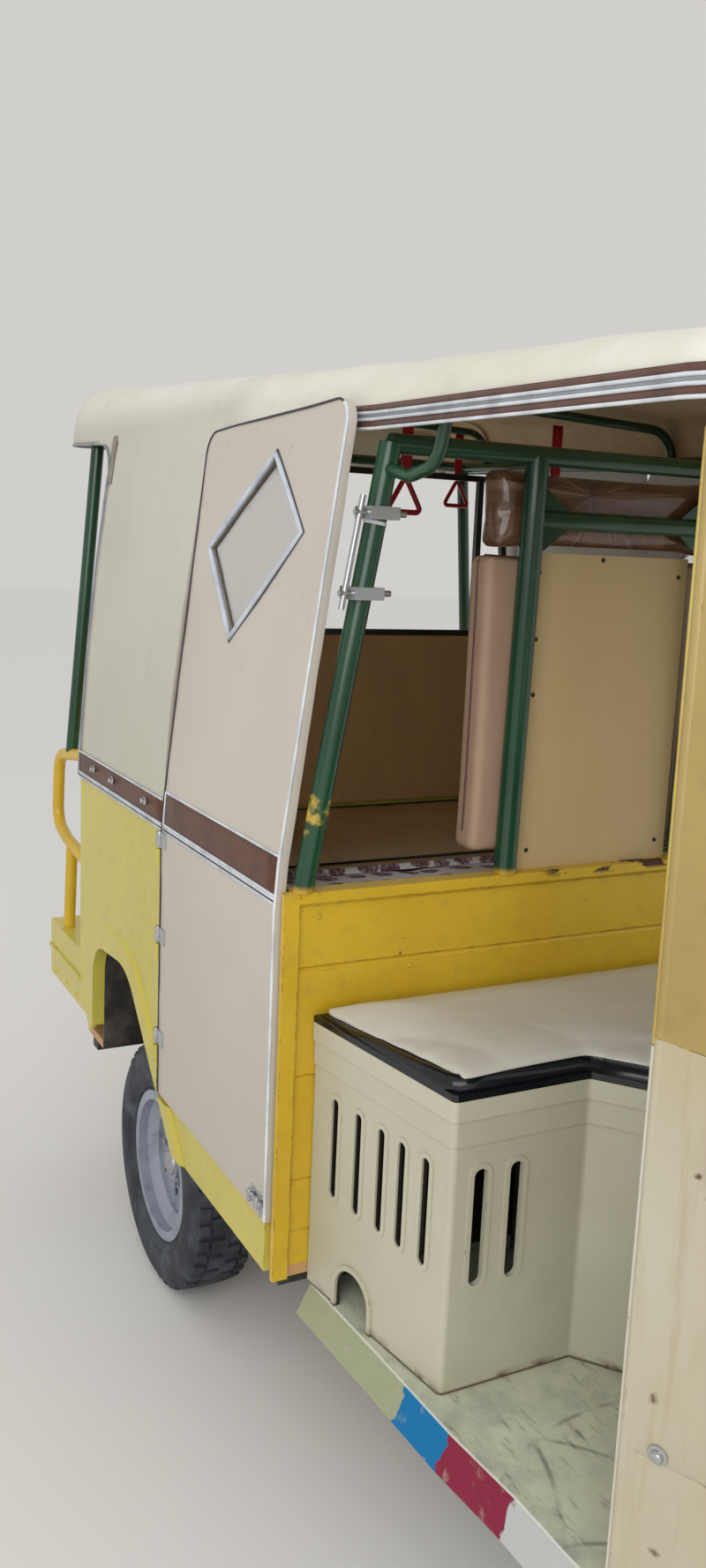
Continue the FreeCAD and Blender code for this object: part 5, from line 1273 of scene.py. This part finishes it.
def door_metal(side, word, body):
    """Three hinges with their screws, and the tower bolt with its knob and hanging rod."""
    def proud(x, out, z):
        return at(x, side * (DOOR_OUT + out), z)

    shape = bmesh.new()
    for z in HINGES:
        soften(shape, turned_rod(shape, proud(163, 1, z + 2), proud(163, 1, z + 35), 7), 1.2, 2)
        plate(shape, proud(163, -1, z + 2), proud(203, 3, z + 35), 1)
        for x, up in ((178, 11), (178, 27), (193, 19)):
            screw = turned_rod(shape, proud(x, 2.5, z + up), proud(x, 4.5, z + up), 3.4, 2.2, 14)
            soften(shape, screw, 0.6, 1)
    soften(shape, turned_rod(shape, proud(685, 7, BOLT_Z), proud(743, 7, BOLT_Z), 5), 1, 2)
    soften(shape, turned_rod(shape, proud(712, 8, BOLT_Z), proud(712, 19, BOLT_Z), 3.5, 5), 1, 2)
    plate(shape, proud(682, -1, BOLT_Z - 13), proud(742, 1.6, BOLT_Z + 13), 0.8)
    for x in (693, 725):
        soften(shape, plate(shape, proud(x, 0, BOLT_Z - 11), proud(x + 10, 13.5, BOLT_Z + 11)), 2.5, 3)
    turned_rod(shape, proud(738, 8, BOLT_Z), proud(736, 6, BOLT_Z - 24), 1.6, sides=10)
    finished(shape, "door_metal_" + word, trim_steel, body, "bright_steel")


def vinyl(name, colour, shade, roughness, wave=0.25):
    finish = Finish(name, colour, roughness)
    finish.colour(finish.coat(finish.mottle(2.6, 0.3, 0.75), colour, shade))
    finish.grain(520, 0.12, 0.0003, 2)
    finish.relief(finish.mottle(7, 0.25, 0.8, detail=2), wave, 0.004)
    return finish.made


def soiled_vinyl(name):
    """The doors' vinyl, greyer towards the sill."""
    finish = Finish(name, (206, 198, 187), 0.4)
    tone = finish.coat(finish.mottle(2.6, 0.3, 0.75), (202, 194, 183), (195, 187, 175))
    low = finish.along("Z").between(1.25, 0.6) * 0.45
    tone = finish.coat(low, tone, (180, 175, 162))
    spots = finish.mottle(60, 0.66, 0.74) * 0.35
    finish.colour(finish.coat(spots, tone, (150, 140, 124)))
    finish.grain(520, 0.1, 0.0003, 2)
    finish.relief(finish.mottle(5, 0.25, 0.8, detail=2), 0.2, 0.005)
    return finish.made


door_vinyl = soiled_vinyl("door_vinyl")
pale_binding = plain_vinyl("pale_binding", (206, 212, 222), (184, 190, 202))
for side, word in SIDES:
    door_cover(side, word, "door_" + word)
    door_trim(side, word, "door_" + word)
    door_metal(side, word, "door_" + word)


# Cushions: foam slabs in sewn vinyl. Each starts as a firm block a little under size, is blown up
# by the cloth solver and held within a few millimetres, and gets its piping and seams afterwards.

def as_it_stands(piece):
    """The mesh of a piece with its modifiers in it."""
    return bpy.data.meshes.new_from_object(piece.evaluated_get(bpy.context.evaluated_depsgraph_get()))


def stuffed(name, shape, voxel, cap, rest, finish, slot_name, node):
    """A padded piece from a firm block. rest is the face it lies on: axis, side, place."""
    firm = object_from(shape, name, finish)
    weave = firm.modifiers.new("weave", "REMESH")
    weave.mode = "VOXEL"
    weave.voxel_size = voxel / 1000
    firm.data = as_it_stands(firm)
    firm.modifiers.clear()
    before = [vert.co.copy() for vert in firm.data.vertices]
    solver = firm.modifiers.new("fill", "CLOTH")
    solver.settings.use_pressure = True
    solver.settings.uniform_pressure_force = 4
    solver.settings.effector_weights.gravity = 0
    solver.point_cache.frame_start = 1
    solver.point_cache.frame_end = 20
    for step in range(1, 21):
        bpy.context.scene.frame_set(step)
    after = [vert.co.copy() for vert in as_it_stands(firm).vertices]
    firm.modifiers.clear()
    bpy.context.scene.frame_set(1)
    axis, way, place = rest
    for vert, start, end in zip(firm.data.vertices, before, after):
        move = end - start
        if move.length > cap / 1000:
            move *= cap / 1000 / move.length
        vert.co = start + move
        vert.co[axis] = way * max(way * vert.co[axis], way * place)
    for face in firm.data.polygons:
        face.use_smooth = True
    firm.data.materials.clear()
    firm.data.materials.append(finish)
    finer = firm.modifiers.new("finer", "SUBSURF")
    finer.levels = 1
    finer.render_levels = 1
    attached(firm, "root", slot_name, node)
    return firm


def pressed_in(piece, depth, width, distance, axis, way):
    """Sews a channel: sinks the face that looks one way where distance() is small."""
    for vert in piece.data.vertices:
        if vert.normal[axis] * way > 0.3:
            vert.co[axis] -= way * depth / 1000 * math.exp(-(distance(vert.co) * 1000 / width) ** 2)


def block_of(low, high, width):
    shape = bmesh.new()
    plate(shape, low, high, width, 4)
    bmesh.ops.recalc_face_normals(shape, faces=shape.faces)
    return shape


def skin_of(piece):
    return bvhtree.BVHTree.FromPolygons([vert.co for vert in piece.data.vertices],
                                        [list(face.vertices) for face in piece.data.polygons])


def topped(piece, places, lift):
    """Drops places on to a piece, a little proud of it."""
    found, skin = [], skin_of(piece)
    for place in places:
        hit = skin.ray_cast(place + Vector((0, 0, 0.15)), Vector((0, 0, -1)))[0]
        found.append((hit or place) + Vector((0, 0, lift / 1000)))
    return found


# Driver's cushion: cream vinyl over foam on the engine's lid, crowned in the middle, drawn down
# thin at its rear edges and full at the front, where its black binding is widest.

CUSHION_PLAN = [(764, 558), (1122, 506), (1124, 272), (1249, 162)]
CUSHION_Z = (906, 935)
PAD_FOOT = 0.905
# the binding round the cushion's foot: x, half width, z and radius, widest at the front corners
BINDING = [(776, 547, 902, 8), (900, 529, 904, 10.5), (1010, 513, 907, 13.5), (1095, 501, 911, 16),
           (1108, 492, 911.5, 16.5), (1109, 420, 911, 16), (1109, 270, 908, 13), (1180, 209, 907, 12),
           (1238, 159, 907, 12), (1238, 60, 907, 12)]


def cushion_block():
    shape = bmesh.new()
    corners = [(x, -y) for x, y in CUSHION_PLAN] + [(x, y) for x, y in reversed(CUSHION_PLAN)]
    base = shape.faces.new([shape.verts.new(at(x, y, CUSHION_Z[0])) for x, y in corners])
    raised = bmesh.ops.extrude_face_region(shape, geom=[base])["geom"]
    bmesh.ops.translate(shape, verts=verts_in(raised),
                        vec=(0, 0, (CUSHION_Z[1] - CUSHION_Z[0]) / 1000))
    bmesh.ops.recalc_face_normals(shape, faces=shape.faces)
    soften(shape, shape.verts[:], 9, 4)
    return shape


def bound_vinyl(name):
    """Cream vinyl, its lower edge bound in glossy black: thin at the rear, wide round the front."""
    finish = Finish(name, (206, 203, 192), 0.34)
    tone = finish.coat(finish.mottle(2.6, 0.3, 0.75), (206, 203, 192), (194, 190, 178))
    along = finish.along("X") - REAR_AXLE
    rise = along.between(0.78, 1.12) * 0.015
    bound = (finish.along("Z") - rise).between(0.9108, 0.9102)
    finish.colour(finish.coat(bound, tone, (16, 18, 24)))
    finish.drive("Roughness", 0.34 - bound * 0.18)
    finish.grain(520, 0.12, 0.0003, 2)
    finish.relief(finish.mottle(7, 0.25, 0.8, detail=2), 0.5, 0.004)
    finish.relief(bound, 0.5, 0.0015)
    return finish.made


driver_vinyl = bound_vinyl("driver_vinyl")
black_piping = plain_vinyl("black_piping", (16, 18, 24), (24, 26, 32), 0.16)
driver_pad = stuffed("driver_pad", cushion_block(), 8, 14, (2, 1, PAD_FOOT), driver_vinyl, "beige_vinyl",
                     "driver_cushion")
for vert in driver_pad.data.vertices:
    x, y = (vert.co.x - REAR_AXLE) * 1000, vert.co.y * 1000
    half = along_table(x, [(row[0], row[1]) for row in CUSHION_PLAN])[0]
    inwards = min(half - abs(y), x - 764, 1246 - x)
    height = vert.co.z - PAD_FOOT
    crown = height * max(eased(inwards, -30, 120), 0.9 * eased(x, 840, 1110))
    gather = 1.8 * math.sin(y / 9.0) * eased(x, 1105, 1235)
    gather += 1.4 * math.sin(x / 10.0) * (1 - eased(inwards, 0, 50))
    gather *= eased(vert.co.z, 0.912, 0.93) / 1000
    vert.co.z = PAD_FOOT + crown * 0.62 + height * 0.38 + gather

binding = piping("driver_binding", [[at(x, -y, z) for x, y, z, _ in BINDING] +
                                    [at(x, y, z) for x, y, z, _ in reversed(BINDING)]],
                 1, black_piping, "root", "black_paint", closed=True)
for point, (_, _, _, wide) in zip(binding.data.splines[0].points, BINDING + BINDING[::-1]):
    point.radius = wide / 1000


# Benches: tan vinyl pads with black piping along both edges, buttoned down in three widths, on
# hardboard boxes. A printed cloth mat lies over the front one.

FRONT_TOP = 1050


def bench_pad(name, node, low_x, high_x, top, seams, finish):
    low, high = at(low_x + 5, -578, top - 39), at(high_x - 5, 578, top - 9)
    pad = stuffed(name, block_of(low, high, 8), 10, 9, (2, 1, top / 1000 - 0.040), finish, "tan_vinyl",
                  node)
    for y in seams:
        pressed_in(pad, 7, 9, lambda co, y=y: abs(co.y - y / 1000), 2, 1)
    for x in (low_x + 12, high_x - 12):
        edge = [at(x, y, top - 10) for y in range(-560, 561, 40)]
        piping(name + ("_rear_piping" if x < (low_x + high_x) / 2 else "_front_piping"),
               [topped(pad, edge, -0.5)], 3, black_piping, "root", "black_paint")
    return pad


tan_vinyl = vinyl("tan_vinyl", (176, 148, 106), (158, 130, 92), 0.4)
bench_pad("rear_bench_pad", "rear_bench_cushion", -429, 150, 1000, (-192, 192), tan_vinyl)
front_pad = bench_pad("front_bench_pad", "front_bench_cushion", 400, 725, FRONT_TOP, (-192, 192), tan_vinyl)


def printed_cloth(name):
    """White cotton printed with round purple-brown flowers, faded here and there."""
    finish = Finish(name, (206, 202, 200), 0.85)
    unrolled = finish.node("CombineXYZ", X=finish.along("X") - finish.along("Z"), Y=finish.along("Y"))
    far = finish.node("TexVoronoi", "Distance", Scale=17, Randomness=0.35, Vector=unrolled)
    petals = far + finish.mottle(120, 0.3, 0.7) * 0.10
    faded = 0.95 - finish.mottle(80, 0.45, 0.6) * 0.35
    finish.colour(finish.coat(petals.between(0.46, 0.42) * faded, (222, 218, 218), (96, 48, 72)))
    finish.grain(640, 0.3, 0.0003, 1)
    finish.grain(14, 0.4, 0.004, 2)
    return finish.made


shape = bmesh.new()
mat_rows = []
for x in range(404, 733, 12):
    row = topped(front_pad, [at(min(x, 720), -560 + 40 * step, FRONT_TOP) for step in range(29)], 2.2)
    if x > 720:
        for place in row:
            place.x += (x - 720) * 0.0006
            place.z -= (x - 720) * 0.0009
    for step, place in enumerate(row):
        place.z += 0.0012 * (1 + noise.noise(place * 18))
    mat_rows.append(row)
drawn_sheet(shape, mat_rows)
facing(shape, Vector((0, 0, 1)))
mat = object_from(shape, "bench_mat", printed_cloth("printed_cloth"))
cloth_thickness(mat, 1.0)
attached(mat, "root", "mat_cloth")


# Seat back: a tan hardboard panel screwed over a brown vinyl cushion, with a second cushion above
# it under a wrapper of creased clear plastic.

# screw heads in the board: y, z
BOARD_SCREWS = [(-154, 1647), (-20, 1672), (-153, 1532), (-151, 1435), (-143, 1155), (150, 1155), (154, 1647)]

brown_vinyl = vinyl("brown_vinyl", (182, 152, 128), (164, 134, 110), 0.6, wave=0.8)
back_pad = stuffed("seat_back_pad", block_of(at(673, -262, 1149), at(735, 262, 1678), 11), 9, 9,
                   (0, -1, REAR_AXLE + 0.7355), brown_vinyl, "brown_vinyl", "seat_back_cushion")
for line in (-88, 88):
    pressed_in(back_pad, 5, 7, lambda co, line=line: abs(co.y - line / 1000), 0, -1)
back_skin = skin_of(back_pad)
seam = [(-275, z) for z in range(1190, 1641, 50)] + [(-270, 1668), (-240, 1685)]
seam += [(y, 1690) for y in range(-200, 1, 50)]
seam += [(-y, z) for y, z in reversed(seam[:-1])]
piping("seat_back_piping", [[back_skin.find_nearest(at(704, y, z))[0] for y, z in seam]], 2.6,
       brown_trim, "root", "brown_vinyl")


def wrapped_vinyl(name):
    """Dark brown vinyl under clear plastic that is drawn into creases from its tied corner."""
    finish = Finish(name, (112, 76, 54), 0.45)
    tone = finish.coat(finish.mottle(8, 0.3, 0.7), (124, 86, 62), (92, 60, 42))
    placed = finish.node("Mapping", Location=(0, 0.060, -1.780), Vector=finish.node("TexCoord", "Object"))
    up, out = (finish.node("SeparateXYZ", axis, Vector=placed) for axis in "ZY")
    rays = finish.node("TexNoise", how=[("noise_dimensions", "1D")], Scale=5, Detail=4,
                       W=up.worked("ARCTAN2", up, out))
    finish.colour(finish.coat(rays.between(0.60, 0.70) * 0.35, tone, (176, 150, 128)))
    finish.drive("Coat Weight", 1.0)
    finish.drive("Coat Roughness", 0.12)
    finish.relief(rays.between(0.35, 0.68), 0.8, 0.004)
    finish.relief(finish.mottle(26, 0.3, 0.7, (1, 1, 2)), 0.4, 0.002)
    return finish.made


stuffed("upper_pad", block_of(at(686, -249, 1686), at(744, 249, 1817), 11), 8, 7, (2, 1, 1.682),
        wrapped_vinyl("wrapped_vinyl"), "clear_vinyl", "upper_cushion")


def board(name, colour, shade):
    finish = Finish(name, colour, 0.5)
    finish.colour(finish.coat(finish.mottle(4, 0.3, 0.75, (1, 1, 0.4)), colour, shade))
    finish.grain(300, 0.1, 0.0003)
    return finish.made


hardboard = board("hardboard", (202, 176, 128), (190, 164, 116))
lining = board("lining_board", (202, 160, 108), (182, 140, 92))
dress(hardboard, "seat_back_board", "bench_boxes")
dress(lining, "rear_lining", "tub_floor")
shape = bmesh.new()
for y, z in BOARD_SCREWS:
    soften(shape, turned_rod(shape, at(743.5, y, z), at(746.2, y, z), 4.6, 3.4, 18), 0.7, 2)
finished(shape, "board_screws", black_paint, "root", "bright_steel")


# Green tube frame: the partition, the rear posts and the roof's rails and hoops are one weldment
# in glossy green. Gussets stiffen the crossbar, a patch of the paint is rubbed to old yellow, and
# a turn of white tape marks the right post.

def frame_green(name):
    finish = Finish(name, (26, 72, 46), 0.24)
    tone = finish.coat(finish.mottle(3, 0.3, 0.7), (28, 76, 48), (20, 58, 36))
    rubbed = near(finish, 0.756, 1.252, 0.018, 0.03)
    right = finish.along("Y").between(-0.5, -0.52)
    tone = finish.coat(rubbed * right, tone, (206, 172, 66))
    foot = finish.along("Z").between(1.135, 1.122) * finish.along("X").between(REAR_AXLE + 0.7,
                                                                               REAR_AXLE + 0.71)
    tone = finish.coat(foot, tone, (192, 150, 48))
    flaked = chips(finish, 34, 0.27, 0.08)
    finish.colour(finish.coat(flaked, tone, (96, 84, 52)))
    finish.drive("Coat Weight", 0.2)
    finish.relief(1.0 - flaked, 0.3, 0.0008)
    return finish.made


# where the crossbar meets the inner posts: y and z
CROSSBAR = (179, 1735)
green_enamel = frame_green("green_enamel")
dress(green_enamel, "partition_frame", "rear_posts", "roof_rails")
dress(black_paint, "rear_window_frame")
shape = bmesh.new()
for side in (-1, 1):
    for up in (-1, 1):
        y, z = CROSSBAR[0], CROSSBAR[1] + up * 14
        places = [(side * y, z), (side * (y - 58), z), (side * y, z + up * 44)]
        face = shape.faces.new([shape.verts.new(at(769, y, z)) for y, z in places])
        grown = bmesh.ops.extrude_face_region(shape, geom=[face])["geom"]
        bmesh.ops.translate(shape, verts=verts_in(grown),
                            vec=(0.005, 0, 0))
finished(shape, "crossbar_gussets", green_enamel, "root", "green_paint")

post_foot, post_head = at(759, -590, 1120), at(775, -474, 1838)
TAPE_Z = 1.715
tape_middle = post_foot.lerp(post_head, (TAPE_Z - post_foot.z) / (post_head.z - post_foot.z))
post_way = (post_head - post_foot).normalized()
shape = bmesh.new()
tape_ring = turned_rod(shape, tape_middle - post_way * 0.003, tape_middle + post_way * 0.003, 18.8, sides=32)
soften(shape, tape_ring, 0.5, 1)
finished(shape, "post_tape", white_trim, "root", "green_paint")
dress(trim_steel, "post_bracket")


# Strap handles: a red webbing strap under each hoop with a rounded three-cornered ring of red
# plastic, for standing passengers.

# under each hoop: x, y, and the strap's top
HANDLES = [(-520, 440, 1999), (300, 180, 1946)]
RING_ROUND = 16
red_plastic = grained("red_plastic", (176, 24, 46), 0.28, 0.0, 120, 0.15)
rings = []
shape = bmesh.new()
for x, y, top in HANDLES:
    low = top - 126
    for side in (-1, 1):
        width = [(12, 0), (12, 60), (12, 96), (9, 112), (7, 126)]
        rows = [[at(x, side * y + across * half, top - down) for across in (-1, -0.5, 0, 0.5, 1)]
                for half, down in width]
        drawn_sheet(shape, rows)
        corners = [(0, low), (-40, low - 70), (40, low - 70)]
        ring = []
        for index, (across, z) in enumerate(corners):
            here = Vector((across, z))
            back = (Vector(corners[index - 1]) - here).normalized()
            ahead = (Vector(corners[(index + 1) % 3]) - here).normalized()
            start, end = here + back * RING_ROUND, here + ahead * RING_ROUND
            for step in range(7):
                share = step / 6
                bent = start * (1 - share) ** 2 + here * 2 * share * (1 - share) + end * share ** 2
                ring.append(at(x, side * y + bent.x, bent.y))
        rings.append(ring)
cloth_thickness(finished(shape, "handle_webbing", red_plastic, "root", "red_plastic", "strap_handles"), 3.0)
piping("handle_rings", rings, 5.6, red_plastic, "root", "red_plastic", closed=True)


# Small fasteners on the body: domed steel rivets in the tub's front and sides, painted over with
# the sheet that they hold.

shape = bmesh.new()
for y, z in ((-381, 971), (-65, 979), (250, 975), (470, 972), (-560, 1075), (560, 1075)):
    soften(shape, turned_rod(shape, at(758.5, y, z), at(762, y, z), 5, 3.5, 18), 0.8, 2)
for side in (-1, 1):
    for x in (-440, -250, -60, 130, 320, 510, 700):
        if not (CURTAIN[0] < x < DOOR_X[1]):
            stud = turned_rod(shape, *(at(x, side * y, 1060) for y in (624, 628)), 4.5, 3, 16)
            soften(shape, stud, 0.8, 2)
    for x in (-700, -600, -500):
        soften(shape, turned_rod(shape, at(x, side * 624, 520), at(x, side * 628, 520), 5, 3.4, 16), 0.8, 2)
finished(shape, "body_rivets", yellow_enamel, "root", "yellow_paint")
